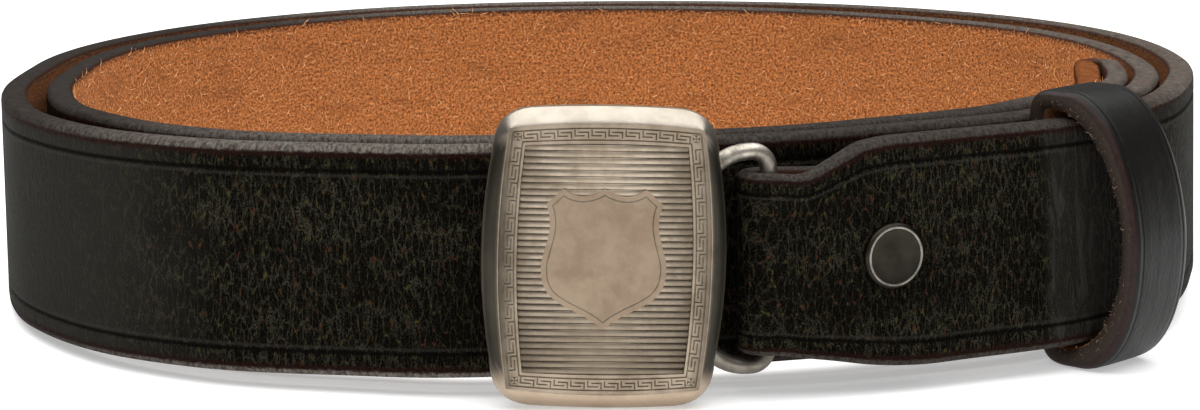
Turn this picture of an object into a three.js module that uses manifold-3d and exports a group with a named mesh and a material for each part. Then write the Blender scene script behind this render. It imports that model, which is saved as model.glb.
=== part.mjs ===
// A leather belt with a plate buckle, standing on its edge and wound in two turns.
// One strap runs from the fold on the wire loop, round the loop twice, and ends in
// a tight return with a rounded tip. The buckle plate holds the strap at the front.
// The plan origin is the middle of the loop, and z = 0 is the strap's lower edge.

import * as THREE from "three";
import { mergeVertices } from "three/addons/utils/BufferGeometryUtils.js";
import Module from "manifold-3d";

// Strap
const STRAP_WIDTH = 28.6;
const LEATHER = 3.6;
const SKIVED = 2.4;
const EDGE_ROUND = 0.9;
const EDGE_ROUND_PART = 0.6;
const EDGE_SOFT_PART = 0.3;
const CLEARANCE = 0.3;
const TURN_STEP = 6;
const FOLD_STEP = 2;
const ARC_STEPS = 8;
const CUT_PAST = 1;

// Wire loop
const WIRE_RADIUS = 1.05;
const WIRE_LOW = 0;
const WIRE_HIGH = 28.5;
const WIRE_FOLD_CORNER = 2.2;
const WIRE_HINGE_CORNER = 6.6;
const WIRE_CORNER_STEPS = 4;
const WIRE_SIDES = 8;
const BAR_BEARING = -76.2;
const HINGE = { x: 10.5, y: -81.6 };

// Rivet
const RIVET_BEARING = -66.1;
const RIVET_HEIGHT = 14.3;
const RIVET_CAP_RADIUS = 4.1;
const RIVET_CAP = 0.9;
const RIVET_GAP = 0.4;
const RIVET_CAP_BEVEL = 0.35;
const RIVET_BACK_RADIUS = 3.2;
const RIVET_BACK = 0.7;
const RIVET_POST_RADIUS = 1.4;
const RIVET_HOLE_RADIUS = 1.75;
const RIVET_HOLE_LENGTH = 9;
const RIVET_HOLE_MIDDLE = 3;
const RIVET_SIDES = 20;

// Flap behind the strap, from the fold to past the rivet
const FLAP_END_BEARING = -60;
const FLAP_THICKNESS = 2.2;

// Return and tip at the free end
const TURN_BACK_BEARING = 716;
const TURN_BACK_GAP = 0.8;
const TIP_LEATHER = 3.0;
const TIP_LENGTH = 35;
const TIP_STEPS = 9;
const TIP_BLUNT = 3;

// Keeper
const KEEPER_BEARING = -43.5;
const KEEPER_WIDTH = 12.5;
const KEEPER_LEATHER = 2.4;
const KEEPER_BACK_GAP = 0.92;
const KEEPER_LOW = -3.3;
const KEEPER_HIGH = 32.0;
const KEEPER_BULGE = 6.0;
const KEEPER_EDGE = 0.4;
const KEEPER_CORNER = 3.4;
const KEEPER_FLAT_END = 3.6;
const KEEPER_FRONT_PULL = 1.2;
const KEEPER_BULGE_PULL = 6.5;
const KEEPER_BULGE_EASE = 0.3;
const KEEPER_CURVE_STEPS = 8;

// Buckle plate
const PLATE_WIDTH = 29.3;
const PLATE_HEIGHT = 36.4;
const PLATE_WALL = 1.2;
const PLATE_RIM_CORNER = 5.8;
const PLATE_FACE_CORNER = 0.7;
const PLATE_BEVEL = 1.95;
const PLATE_SIDE_BOW = 1.1;
const PLATE_RIM_END_BOW = 0.2;
const PLATE_FACE_END_BOW = 0.65;
const PLATE_FACE = { x: -0.45, y: -87.2, z: 15.7 };
const PLATE_TURN = 3;
const PLATE_LEAN = 2.5;
const PLATE_ROLL = 1.6;
const PLATE_CURVE_STEPS = 5;
const LUG_HEIGHT = 3;
const LUG_RADIUS = 2.3;
const LUG_SPREAD = 4.2;
const LUG_DEPTH = 7;
const LUG_SIDES = 16;
const CLAMP_WIDTH = 5;
const CLAMP_THICKNESS = 1.2;
const CLAMP_BAR = { x: -7.5, y: -75.95 };
const CLAMP_TURN = 11;
const CLAMP_DEPTH = 14;
const FITTING_BITE = 0.15;

// The plate's shell from behind, round the rim and over the bevel to the face: how far
// each ring is drawn in from the rim, and how far it lies behind the face
const PLATE_SHELL = [
  { inset: 2.3, depth: PLATE_WALL },
  { inset: 1.15, depth: 3.7 },
  { inset: 0, depth: 3.7 },
  { inset: 0.15, depth: 2.4 },
  { inset: 0.8, depth: 1.1 },
  { inset: PLATE_BEVEL, depth: 0 },
];

// Engraving on the plate's face: border lines, a Greek key between them, a ribbed field
// and a plain shield. A line or field is barrel-shaped, wider at its middle by its bows.
const ENGRAVED = 0.15;
const LINE_WIDTH = 0.17;
const BORDER_LINES = [
  { halfWidth: 12.55, sideBow: 1.07, halfHeight: 16.2, endBow: 0.6 },
  { halfWidth: 12.05, sideBow: 1.0, halfHeight: 15.7, endBow: 0.55 },
  { halfWidth: 10.8, sideBow: 0.85, halfHeight: 14.33, endBow: 0.35 },
];
const FIELD = { halfWidth: 10.5, sideBow: 0.83, halfHeight: 13.87, endBow: 0.25 };
const RIB_PITCH = 0.765;
const RIB_CREST = 0.34;
const RIB_FOOT = 0.56;
const KEY_RUNS = [
  { keys: 10, pitch: 2.04, height: 1.37, halfLength: 11.05, reach: 15.7, bow: 0.55, turn: 0 },
  { keys: 12, pitch: 2.1, height: 1.25, halfLength: 15.15, reach: 12.05, bow: 1.0, turn: -90 },
  { keys: 10, pitch: 2.04, height: 1.37, halfLength: 11.05, reach: 15.7, bow: 0.55, turn: 180 },
  { keys: 12, pitch: 2.1, height: 1.25, halfLength: 15.15, reach: 12.05, bow: 1.0, turn: 90 },
];

// One key's two hooked cuts, as corners of their middle lines in parts of the key's
// pitch and height, the height counted inwards from the border's outer line
const KEY_CUTS = [
  [{ along: 0, inward: 0 }, { along: 0, inward: 0.667 }, { along: 0.574, inward: 0.667 }],
  [{ along: 0.787, inward: 1 }, { along: 0.787, inward: 0.348 }, { along: 0.17, inward: 0.348 }],
];

// Right half of the shield, from its middle peak down to its tip
const SHIELD_MIDDLE = -0.15;
const SHIELD_LINE = 0.91;
const SHIELD = [
  { x: 0, z: 8.6 },
  { x: 2.35, z: 7.65 },
  { x: 4.95, z: 8.5 },
  { x: 6.95, z: 6.65 },
  { x: 6.45, z: 4.3 },
  { x: 7.0, z: 1.3 },
  { x: 7.42, z: -1.8 },
  { x: 6.2, z: -4.5 },
  { x: 4.6, z: -5.6 },
  { x: 2.6, z: -6.6 },
  { x: 0, z: -8.4 },
];

// How the belt leans to rest on its back edge, its keeper and its buckle
const REST_PITCH = -0.705;
const REST_ROLL = -0.887;
const SEAT = { x: -0.35, y: 3.266, z: 1.629 };

// Reach of the outermost face from the middle of the loop, by bearing, and how far
// the strap's lower edge stands out past its upper edge there.
const LOOP = [
  { bearing: 0, reach: 85.0, lean: 0.6 },
  { bearing: 30, reach: 86.7, lean: 0.4 },
  { bearing: 60, reach: 84.4, lean: 0 },
  { bearing: 90, reach: 81.6, lean: 0 },
  { bearing: 120, reach: 83.1, lean: 0 },
  { bearing: 150, reach: 83.4, lean: 0 },
  { bearing: 180, reach: 83.9, lean: 0 },
  { bearing: 200, reach: 88.0, lean: 0 },
  { bearing: 215, reach: 91.8, lean: 0 },
  { bearing: 225, reach: 92.7, lean: 0 },
  { bearing: 235, reach: 91.2, lean: 0 },
  { bearing: 250, reach: 85.9, lean: 0 },
  { bearing: 265, reach: 83.6, lean: 0 },
  { bearing: 284, reach: 84.95, lean: 0 },
  { bearing: 300, reach: 85.0, lean: 1.8 },
  { bearing: 315, reach: 87.4, lean: 2.4 },
  { bearing: 330, reach: 86.4, lean: 1.7 },
  { bearing: 345, reach: 84.8, lean: 0.8 },
];

// How far inside that outline the strap's outer face lies. The bearing counts on
// through both turns, from the wire bar at the front.
const WIND = [
  { bearing: -80, inset: 0 },
  { bearing: 252, inset: 0 },
  { bearing: 264, inset: 2.2 },
  { bearing: 274, inset: 6.3 },
  { bearing: 281, inset: 7.7 },
  { bearing: 294, inset: 8.1 },
  { bearing: 303, inset: 7.7 },
  { bearing: 311, inset: 7.65 },
  { bearing: 321, inset: 7.65 },
  { bearing: 328, inset: 5.7 },
  { bearing: 335, inset: 4.5 },
  { bearing: 342, inset: 4.4 },
  { bearing: 357, inset: 5.8 },
  { bearing: 388, inset: 8.8 },
  { bearing: 410, inset: 10.6 },
  { bearing: 432, inset: 9.0 },
  { bearing: 450, inset: 8.0 },
  { bearing: 500, inset: 7.6 },
  { bearing: 520, inset: 6.2 },
  { bearing: 540, inset: 5.8 },
  { bearing: 568, inset: 6.5 },
  { bearing: 582, inset: 7.4 },
  { bearing: 612, inset: 7.1 },
  { bearing: 624, inset: 9.0 },
  { bearing: 634, inset: 11.6 },
  { bearing: 642, inset: 12.6 },
  { bearing: 664, inset: 13.1 },
  { bearing: 671, inset: 13.8 },
  { bearing: 681, inset: 13.8 },
  { bearing: 689, inset: 11.3 },
  { bearing: 695, inset: 9.5 },
  { bearing: 702, inset: 8.6 },
  { bearing: 716, inset: 9.9 },
];

// The narrowed buckle end: lower and upper edge, and thickness, by bearing
const BUCKLE_END = [
  { bearing: -80, low: 2.8, high: 25.3, thickness: SKIVED },
  { bearing: -76.2, low: 2.7, high: 25.0, thickness: SKIVED },
  { bearing: -74, low: 2.2, high: 24.7, thickness: 2.6 },
  { bearing: -71, low: 1.5, high: 26.4, thickness: 3.1 },
  { bearing: -68, low: 0.7, high: 28.2, thickness: 3.5 },
  { bearing: -65, low: 0.2, high: STRAP_WIDTH, thickness: LEATHER },
  { bearing: -62, low: 0, high: STRAP_WIDTH, thickness: LEATHER },
];

// The free end thins towards its tip
const TAIL = [
  { bearing: 680, thickness: LEATHER },
  { bearing: 716, thickness: TIP_LEATHER },
];

// The flap: how far its near face lies inside the outline, and its edges
const FLAP = [
  { bearing: -76.2, inset: 5.1, low: 2.7, high: 25.0 },
  { bearing: -72, inset: 4.2, low: 2.5, high: 24.9 },
  { bearing: -66, inset: 3.95, low: 2.6, high: 24.8 },
  { bearing: -60, inset: 3.95, low: 4.6, high: 22.8 },
];

const radians = THREE.MathUtils.degToRad;

// Smooth curve through one column of a table, level at its highs, lows and ends
function column(table, name, bearing) {
  const last = table.length - 1;
  if (bearing <= table[0].bearing) return table[0][name];
  if (bearing >= table[last].bearing) return table[last][name];
  const rate = (from, to) => (to[name] - from[name]) / (to.bearing - from.bearing);
  const slope = (index) => {
    if (index === 0 || index === last) return 0;
    const arriving = rate(table[index - 1], table[index]);
    const leaving = rate(table[index], table[index + 1]);
    if (arriving * leaving <= 0) return 0;
    return (2 * arriving * leaving) / (arriving + leaving);
  };
  let row = 0;
  while (table[row + 1].bearing < bearing) row += 1;
  const span = table[row + 1].bearing - table[row].bearing;
  const t = (bearing - table[row].bearing) / span;
  const rise = table[row + 1][name] - table[row][name];
  const eased = rise * t * t * (3 - 2 * t);
  const start = slope(row) * span * t * (1 - t) * (1 - t);
  const end = slope(row + 1) * span * t * t * (1 - t);
  return table[row][name] + eased + start - end;
}

// One column of the loop table, which closes on itself
const closedLoop = [-1, 0, 1].flatMap((turn) =>
  LOOP.map((row) => ({ ...row, bearing: row.bearing + 360 * turn })));
const wholeTurn = (bearing) => THREE.MathUtils.euclideanModulo(bearing, 360);
const reach = (bearing) => column(closedLoop, "reach", wholeTurn(bearing));
const lean = (bearing) => column(closedLoop, "lean", wholeTurn(bearing));

// Plan point at a bearing and a distance from the middle of the loop
function planPoint(bearing, distance) {
  const angle = radians(bearing);
  return new THREE.Vector2(distance * Math.cos(angle), distance * Math.sin(angle));
}

// A station of the strap: middle of the leather in plan, thickness, edges and lean
function station(point, thickness, low, high, leaning) {
  return { point, thickness, low, high, leaning };
}

// Stations of the flap, from its end to the fold
function flapStations() {
  const stations = [];
  for (let bearing = FLAP_END_BEARING; bearing > BAR_BEARING + FOLD_STEP / 2; bearing -= FOLD_STEP) {
    const near = reach(bearing) - column(FLAP, "inset", bearing);
    const point = planPoint(bearing, near - FLAP_THICKNESS / 2);
    const low = column(FLAP, "low", bearing);
    const high = column(FLAP, "high", bearing);
    stations.push(station(point, FLAP_THICKNESS, low, high, lean(bearing)));
  }
  return stations;
}

// Middle of the wire bar inside the fold
const foldRadius = WIRE_RADIUS + CLEARANCE + SKIVED / 2;
const barDistance = reach(BAR_BEARING) - SKIVED / 2 - foldRadius;
const wireBar = planPoint(BAR_BEARING, barDistance);

// Stations of the fold, half way round the wire bar
function foldStations() {
  const low = column(BUCKLE_END, "low", BAR_BEARING);
  const high = column(BUCKLE_END, "high", BAR_BEARING);
  const stations = [];
  for (let step = 0; step <= ARC_STEPS; step += 1) {
    const around = BAR_BEARING + 180 * (step / ARC_STEPS - 1);
    const point = planPoint(around, foldRadius).add(wireBar);
    stations.push(station(point, SKIVED, low, high, 0));
  }
  return stations;
}

// Stations of the wound strap, from the fold to the return
function woundStations() {
  const bearings = [];
  const fullWidth = BUCKLE_END[BUCKLE_END.length - 1].bearing;
  for (let bearing = BAR_BEARING + FOLD_STEP; bearing < fullWidth; bearing += FOLD_STEP) {
    bearings.push(bearing);
  }
  for (let bearing = fullWidth + FOLD_STEP; bearing < TURN_BACK_BEARING; bearing += TURN_STEP) {
    bearings.push(bearing);
  }
  return bearings.map((bearing) => {
    const thickness = Math.min(
      column(BUCKLE_END, "thickness", bearing), column(TAIL, "thickness", bearing));
    const face = reach(bearing) - column(WIND, "inset", bearing);
    const low = column(BUCKLE_END, "low", bearing);
    const high = column(BUCKLE_END, "high", bearing);
    return station(planPoint(bearing, face - thickness / 2), thickness, low, high, lean(bearing));
  });
}

// Stations of the return: half a turn, then a rounded tip beside the last stretch
function returnStations() {
  const face = (bearing) => reach(bearing) - column(WIND, "inset", bearing);
  const radius = (TIP_LEATHER + TURN_BACK_GAP) / 2;
  const middle = face(TURN_BACK_BEARING) - TIP_LEATHER / 2 - radius;
  const centre = planPoint(TURN_BACK_BEARING, middle);
  const leaning = lean(TURN_BACK_BEARING);
  const stations = [];
  for (let step = 0; step <= ARC_STEPS; step += 1) {
    const around = TURN_BACK_BEARING + (180 * step) / ARC_STEPS;
    const point = planPoint(around, radius).add(centre);
    stations.push(station(point, TIP_LEATHER, 0, STRAP_WIDTH, leaning));
  }
  const half = STRAP_WIDTH / 2;
  const span = THREE.MathUtils.radToDeg(TIP_LENGTH / middle);
  for (let step = 1; step <= TIP_STEPS; step += 1) {
    const along = Math.sin((Math.PI / 2) * (step / TIP_STEPS));
    const bearing = TURN_BACK_BEARING - span * along;
    const beside = face(bearing) - column(TAIL, "thickness", bearing) - TURN_BACK_GAP;
    const point = planPoint(bearing, beside - TIP_LEATHER / 2);
    const rounded = Math.max(TIP_BLUNT, half * Math.sqrt(1 - along * along));
    stations.push(station(point, TIP_LEATHER, half - rounded, half + rounded, lean(bearing)));
  }
  return stations;
}

// Corners of the strap's section: depth from the middle towards the grain, and height
function strapSection({ thickness, low, high }) {
  const out = thickness / 2;
  const round = Math.min(EDGE_ROUND, out * EDGE_ROUND_PART);
  const soft = round * EDGE_SOFT_PART;
  return [
    { depth: out - soft, height: low + soft },
    { depth: out - round, height: low },
    { depth: round - out, height: low },
    { depth: soft - out, height: low + soft },
    { depth: -out, height: low + round },
    { depth: -out, height: high - round },
    { depth: soft - out, height: high - soft },
    { depth: round - out, height: high },
    { depth: out - round, height: high },
    { depth: out - soft, height: high - soft },
    { depth: out, height: high - round },
    { depth: out, height: low + round },
  ];
}

// Closed mesh over rings of equal length. Rings wrap round, or end in flat caps.
function loft(rings, wrap) {
  const sides = rings[0].length;
  const positions = rings.flat().flatMap((point) => [point.x, point.y, point.z]);
  const indices = [];
  const joins = wrap ? rings.length : rings.length - 1;
  for (let ring = 0; ring < joins; ring += 1) {
    const here = ring * sides;
    const next = ((ring + 1) % rings.length) * sides;
    for (let side = 0; side < sides; side += 1) {
      const beside = (side + 1) % sides;
      indices.push(here + side, here + beside, next + beside);
      indices.push(here + side, next + beside, next + side);
    }
  }
  if (!wrap) {
    const capCentre = (ring) => {
      const middle = rings[ring].reduce((sum, point) => sum.add(point), new THREE.Vector3());
      middle.divideScalar(sides);
      positions.push(middle.x, middle.y, middle.z);
      return positions.length / 3 - 1;
    };
    const first = capCentre(0);
    const last = capCentre(rings.length - 1);
    const lastStart = (rings.length - 1) * sides;
    for (let side = 0; side < sides; side += 1) {
      const beside = (side + 1) % sides;
      indices.push(first, beside, side);
      indices.push(last, lastStart + side, lastStart + beside);
    }
  }
  const geometry = new THREE.BufferGeometry();
  geometry.setAttribute("position", new THREE.Float32BufferAttribute(positions, 3));
  geometry.setIndex(indices);
  return geometry;
}

// Grain-side direction at a station, square to the strap's run in plan
function grainDirection(stations, index) {
  const before = stations[Math.max(0, index - 1)].point;
  const after = stations[Math.min(stations.length - 1, index + 1)].point;
  const run = after.clone().sub(before).normalize();
  return new THREE.Vector2(run.y, -run.x);
}

function strapGeometry(stations) {
  const rings = stations.map((here, index) => {
    const grain = grainDirection(stations, index);
    const outward = here.point.clone().normalize();
    const side = Math.sign(grain.dot(outward)) || 1;
    return strapSection(here).map(({ depth, height }) => {
      const leaned = depth - side * here.leaning * (height / STRAP_WIDTH - 0.5);
      return new THREE.Vector3(
        here.point.x + grain.x * leaned,
        here.point.y + grain.y * leaned,
        height,
      );
    });
  });
  return loft(rings, false);
}

const wasm = await Module();
wasm.setup();

function toSolid(geometry) {
  const bare = geometry.clone();
  bare.deleteAttribute("normal");
  bare.deleteAttribute("uv");
  const merged = mergeVertices(bare, 1e-4);
  const mesh = new wasm.Mesh({
    numProp: 3,
    vertProperties: new Float32Array(merged.attributes.position.array),
    triVerts: new Uint32Array(merged.index.array),
  });
  return new wasm.Manifold(mesh);
}

function toGeometry(solid) {
  const mesh = solid.getMesh();
  const geometry = new THREE.BufferGeometry();
  geometry.setAttribute("position", new THREE.Float32BufferAttribute(mesh.vertProperties, 3));
  geometry.setIndex(new THREE.BufferAttribute(mesh.triVerts, 1));
  return geometry;
}

// Turns a lathe made about Y so that its axis runs outward at a bearing
function alongBearing(geometry, bearing, height, distance) {
  geometry.rotateZ(-Math.PI / 2);
  geometry.rotateZ(radians(bearing));
  const place = planPoint(bearing, distance);
  geometry.translate(place.x, place.y, height);
  return geometry;
}

// Strap, pierced for the rivet
function makeStrap() {
  const stations = [
    ...flapStations(),
    ...foldStations(),
    ...woundStations(),
    ...returnStations(),
  ];
  const hole = new THREE.CylinderGeometry(
    RIVET_HOLE_RADIUS, RIVET_HOLE_RADIUS, RIVET_HOLE_LENGTH, RIVET_SIDES);
  alongBearing(hole, RIVET_BEARING, RIVET_HEIGHT, reach(RIVET_BEARING) - RIVET_HOLE_MIDDLE);
  return toGeometry(toSolid(strapGeometry(stations)).subtract(toSolid(hole)));
}

// Rivet: a broad bevelled cap outside, a post, and a plain cap behind the flap
function makeRivet() {
  const face = RIVET_GAP;
  const behind = -(column(FLAP, "inset", RIVET_BEARING) + FLAP_THICKNESS + RIVET_GAP);
  const profile = [
    new THREE.Vector2(0, behind - RIVET_BACK),
    new THREE.Vector2(RIVET_BACK_RADIUS - RIVET_CAP_BEVEL, behind - RIVET_BACK),
    new THREE.Vector2(RIVET_BACK_RADIUS, behind - RIVET_BACK + RIVET_CAP_BEVEL),
    new THREE.Vector2(RIVET_BACK_RADIUS, behind),
    new THREE.Vector2(RIVET_POST_RADIUS, behind),
    new THREE.Vector2(RIVET_POST_RADIUS, face),
    new THREE.Vector2(RIVET_CAP_RADIUS, face),
    new THREE.Vector2(RIVET_CAP_RADIUS, face + RIVET_CAP - RIVET_CAP_BEVEL),
    new THREE.Vector2(RIVET_CAP_RADIUS - RIVET_CAP_BEVEL, face + RIVET_CAP),
    new THREE.Vector2(0, face + RIVET_CAP),
  ];
  const lathe = new THREE.LatheGeometry(profile, RIVET_SIDES);
  return alongBearing(lathe, RIVET_BEARING, RIVET_HEIGHT, reach(RIVET_BEARING));
}

// Wire loop: a rounded rectangle of wire from the fold to the plate's hinge lugs
function makeWireLoop() {
  const run = new THREE.Vector2(HINGE.x, HINGE.y).sub(wireBar);
  const length = run.length();
  run.normalize();
  const low = WIRE_LOW + WIRE_RADIUS;
  const high = WIRE_HIGH - WIRE_RADIUS;
  const hingeAlong = length - WIRE_HINGE_CORNER;
  const corners = [
    { along: hingeAlong, height: high - WIRE_HINGE_CORNER, turn: 0, radius: WIRE_HINGE_CORNER },
    { along: WIRE_FOLD_CORNER, height: high - WIRE_FOLD_CORNER, turn: 90, radius: WIRE_FOLD_CORNER },
    { along: WIRE_FOLD_CORNER, height: low + WIRE_FOLD_CORNER, turn: 180, radius: WIRE_FOLD_CORNER },
    { along: hingeAlong, height: low + WIRE_HINGE_CORNER, turn: 270, radius: WIRE_HINGE_CORNER },
  ];
  const rings = [];
  for (const corner of corners) {
    for (let step = 0; step <= WIRE_CORNER_STEPS; step += 1) {
      const angle = radians(corner.turn + (90 * step) / WIRE_CORNER_STEPS);
      const out = new THREE.Vector3(run.x * Math.cos(angle), run.y * Math.cos(angle), Math.sin(angle));
      const across = new THREE.Vector3(-run.y, run.x, 0);
      const middle = new THREE.Vector3(
        wireBar.x + run.x * corner.along,
        wireBar.y + run.y * corner.along,
        corner.height,
      ).addScaledVector(out, corner.radius);
      const ring = [];
      for (let side = 0; side < WIRE_SIDES; side += 1) {
        const around = (2 * Math.PI * side) / WIRE_SIDES;
        ring.push(middle.clone()
          .addScaledVector(out, WIRE_RADIUS * Math.cos(around))
          .addScaledVector(across, WIRE_RADIUS * Math.sin(around)));
      }
      rings.push(ring);
    }
  }
  return loft(rings, true);
}

// Keeper outline round the strap: flat behind it and bowed out in front
function keeperOutline(inset) {
  const back = inset - LEATHER - KEEPER_BACK_GAP - KEEPER_LEATHER;
  const low = KEEPER_LOW + inset;
  const high = KEEPER_HIGH - inset;
  const round = KEEPER_CORNER - inset;
  const front = CLEARANCE + KEEPER_LEATHER - inset;
  const flat = front - KEEPER_FLAT_END;
  const turned = front + KEEPER_FRONT_PULL;
  const bulge = front + KEEPER_BULGE;
  const eased = bulge - KEEPER_BULGE_EASE;
  const shape = new THREE.Shape();
  shape.moveTo(back + round, low);
  shape.lineTo(flat, low);
  shape.bezierCurveTo(turned, low, eased, low + KEEPER_BULGE_PULL, bulge, (low + high) / 2);
  shape.bezierCurveTo(eased, high - KEEPER_BULGE_PULL, turned, high, flat, high);
  shape.lineTo(back + round, high);
  shape.quadraticCurveTo(back, high, back, high - round);
  shape.lineTo(back, low + round);
  shape.quadraticCurveTo(back, low, back + round, low);
  return shape;
}

function makeKeeper() {
  const shape = keeperOutline(KEEPER_EDGE);
  const opening = keeperOutline(KEEPER_LEATHER - KEEPER_EDGE);
  shape.holes.push(new THREE.Path(opening.getPoints(KEEPER_CURVE_STEPS)));
  const geometry = new THREE.ExtrudeGeometry(shape, {
    depth: KEEPER_WIDTH - 2 * KEEPER_EDGE,
    bevelThickness: KEEPER_EDGE,
    bevelSize: KEEPER_EDGE,
    bevelSegments: 1,
    curveSegments: KEEPER_CURVE_STEPS,
  });
  geometry.translate(0, 0, KEEPER_EDGE - KEEPER_WIDTH / 2);
  const leaned = new THREE.Matrix4();
  leaned.elements[4] = -lean(KEEPER_BEARING) / STRAP_WIDTH;
  leaned.elements[12] = lean(KEEPER_BEARING) / 2;
  geometry.applyMatrix4(leaned);
  const bearing = radians(KEEPER_BEARING);
  const outward = new THREE.Vector3(Math.cos(bearing), Math.sin(bearing), 0);
  const along = new THREE.Vector3(-Math.sin(bearing), Math.cos(bearing), 0);
  const up = new THREE.Vector3(0, 0, 1);
  const turn = new THREE.Matrix4().makeBasis(outward, up, along.negate());
  const place = planPoint(KEEPER_BEARING, reach(KEEPER_BEARING));
  turn.setPosition(place.x, place.y, 0);
  geometry.applyMatrix4(turn);
  return geometry;
}

// Points round the barrel-shaped plate, drawn in by an inset, at a depth behind its face
function plateRing(inset, depth) {
  const halfWidth = PLATE_WIDTH / 2 - inset;
  const halfHeight = PLATE_HEIGHT / 2 - inset;
  const rounding = Math.min(1, inset / PLATE_BEVEL);
  const corner = THREE.MathUtils.lerp(PLATE_RIM_CORNER, PLATE_FACE_CORNER, rounding);
  const endBow = THREE.MathUtils.lerp(PLATE_RIM_END_BOW, PLATE_FACE_END_BOW, rounding);
  const sideX = halfWidth - PLATE_SIDE_BOW;
  const endZ = halfHeight - endBow;
  const outline = new THREE.Shape();
  outline.moveTo(sideX, corner - endZ);
  outline.quadraticCurveTo(halfWidth + PLATE_SIDE_BOW, 0, sideX, endZ - corner);
  outline.quadraticCurveTo(sideX, endZ, sideX - corner, endZ);
  outline.quadraticCurveTo(0, halfHeight + endBow, corner - sideX, endZ);
  outline.quadraticCurveTo(-sideX, endZ, -sideX, endZ - corner);
  outline.quadraticCurveTo(-halfWidth - PLATE_SIDE_BOW, 0, -sideX, corner - endZ);
  outline.quadraticCurveTo(-sideX, -endZ, corner - sideX, -endZ);
  outline.quadraticCurveTo(0, -halfHeight - endBow, sideX - corner, -endZ);
  outline.quadraticCurveTo(sideX, -endZ, sideX, corner - endZ);
  const points = outline.getPoints(PLATE_CURVE_STEPS);
  points.pop();
  return points.map((point) => new THREE.Vector3(point.x, depth, point.y));
}

// Solid of a flat outline that reaches from in front of the plate's face to the depth
// of its engraving
function faceCut(outline) {
  const geometry = new THREE.ExtrudeGeometry(outline, {
    depth: ENGRAVED + CUT_PAST,
    bevelEnabled: false,
    curveSegments: PLATE_CURVE_STEPS,
  });
  geometry.rotateX(Math.PI / 2);
  geometry.translate(0, ENGRAVED, 0);
  return toSolid(geometry);
}

// Barrel-shaped outline of a border line or of the field, drawn in by an inset
function barrel({ halfWidth, sideBow, halfHeight, endBow }, inset) {
  const x = halfWidth - sideBow - inset;
  const z = halfHeight - endBow - inset;
  const outline = new THREE.Shape();
  outline.moveTo(x, -z);
  outline.quadraticCurveTo(x + 2 * sideBow, 0, x, z);
  outline.quadraticCurveTo(0, z + 2 * endBow, -x, z);
  outline.quadraticCurveTo(-x - 2 * sideBow, 0, -x, -z);
  outline.quadraticCurveTo(0, -z - 2 * endBow, x, -z);
  return outline;
}

function borderLine(line) {
  return faceCut(barrel(line, -LINE_WIDTH / 2)).subtract(faceCut(barrel(line, LINE_WIDTH / 2)));
}

// Hooked cut of a key, as wide as the border lines: a stem from a border line, then a
// square turn. The start of the stem is run on a little, into the border line.
function keyHook([start, corner, end], { pitch, height }) {
  const half = LINE_WIDTH / 2;
  const side = Math.sign(end.along - corner.along);
  const inwards = Math.sign(corner.inward - start.inward);
  const x = corner.along * pitch;
  const far = end.along * pitch;
  const from = -start.inward * height + inwards * half;
  const z = -corner.inward * height;
  const outline = new THREE.Shape();
  outline.moveTo(x - side * half, from);
  outline.lineTo(x + side * half, from);
  outline.lineTo(x + side * half, z + inwards * half);
  outline.lineTo(far, z + inwards * half);
  outline.lineTo(far, z - inwards * half);
  outline.lineTo(x - side * half, z - inwards * half);
  return faceCut(outline);
}

// Keys along one side of the border, turned to follow its bow
function keyRun(run) {
  const key = wasm.Manifold.union(KEY_CUTS.map((cut) => keyHook(cut, run)));
  const placed = [];
  for (let index = 0; index < run.keys; index += 1) {
    const along = (index - run.keys / 2) * run.pitch;
    const middle = (along + run.pitch / 2) / run.halfLength;
    const slope = (-2 * run.bow * middle) / run.halfLength;
    const distance = run.reach - run.bow * (along / run.halfLength) ** 2;
    placed.push(key.rotate([0, THREE.MathUtils.radToDeg(-Math.atan(slope)), 0])
      .translate([along, 0, distance]).rotate([0, -run.turn, 0]));
  }
  return wasm.Manifold.union(placed);
}

function shieldOutline(scale) {
  const mirrored = SHIELD.slice(1, -1).reverse().map(({ x, z }) => ({ x: -x, z }));
  const corners = [...SHIELD, ...mirrored];
  return new THREE.Shape(corners.map(({ x, z }) =>
    new THREE.Vector2(SHIELD_MIDDLE + x * scale, z * scale)));
}

// Shape between the ribs: the field's outline less its ribs and the shield
function fieldCut() {
  const count = Math.floor((2 * FIELD.halfHeight) / RIB_PITCH);
  const profile = new THREE.Shape([
    new THREE.Vector2(-RIB_CREST / 2, -2 * CUT_PAST),
    new THREE.Vector2(RIB_CREST / 2, -2 * CUT_PAST),
    new THREE.Vector2(RIB_CREST / 2, 0),
    new THREE.Vector2(RIB_FOOT / 2, ENGRAVED),
    new THREE.Vector2(RIB_FOOT / 2, ENGRAVED + CUT_PAST),
    new THREE.Vector2(-RIB_FOOT / 2, ENGRAVED + CUT_PAST),
    new THREE.Vector2(-RIB_FOOT / 2, ENGRAVED),
    new THREE.Vector2(-RIB_CREST / 2, 0),
  ]);
  const bar = new THREE.ExtrudeGeometry(profile, { depth: PLATE_WIDTH, bevelEnabled: false });
  bar.translate(0, 0, -PLATE_WIDTH / 2);
  bar.rotateY(Math.PI / 2);
  const rib = toSolid(bar);
  const ribs = [];
  for (let index = 0; index < count; index += 1) {
    ribs.push(rib.translate([0, 0, (index - (count - 1) / 2) * RIB_PITCH]));
  }
  return faceCut(barrel(FIELD, 0)).subtract(wasm.Manifold.union(ribs));
}

// Everything that is engraved into the plate's face. The shield stays at the face, so
// its solid is made deeper than the field's before it is taken out of it.
function engraving() {
  const shield = faceCut(shieldOutline(1)).scale([1, 2, 1]);
  const shieldLine = faceCut(shieldOutline(SHIELD_LINE))
    .subtract(faceCut(shieldOutline(SHIELD_LINE - LINE_WIDTH / SHIELD[0].z)));
  return wasm.Manifold.union([
    fieldCut().subtract(shield),
    shieldLine,
    ...BORDER_LINES.map(borderLine),
    ...KEY_RUNS.map(keyRun),
  ]);
}

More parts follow.
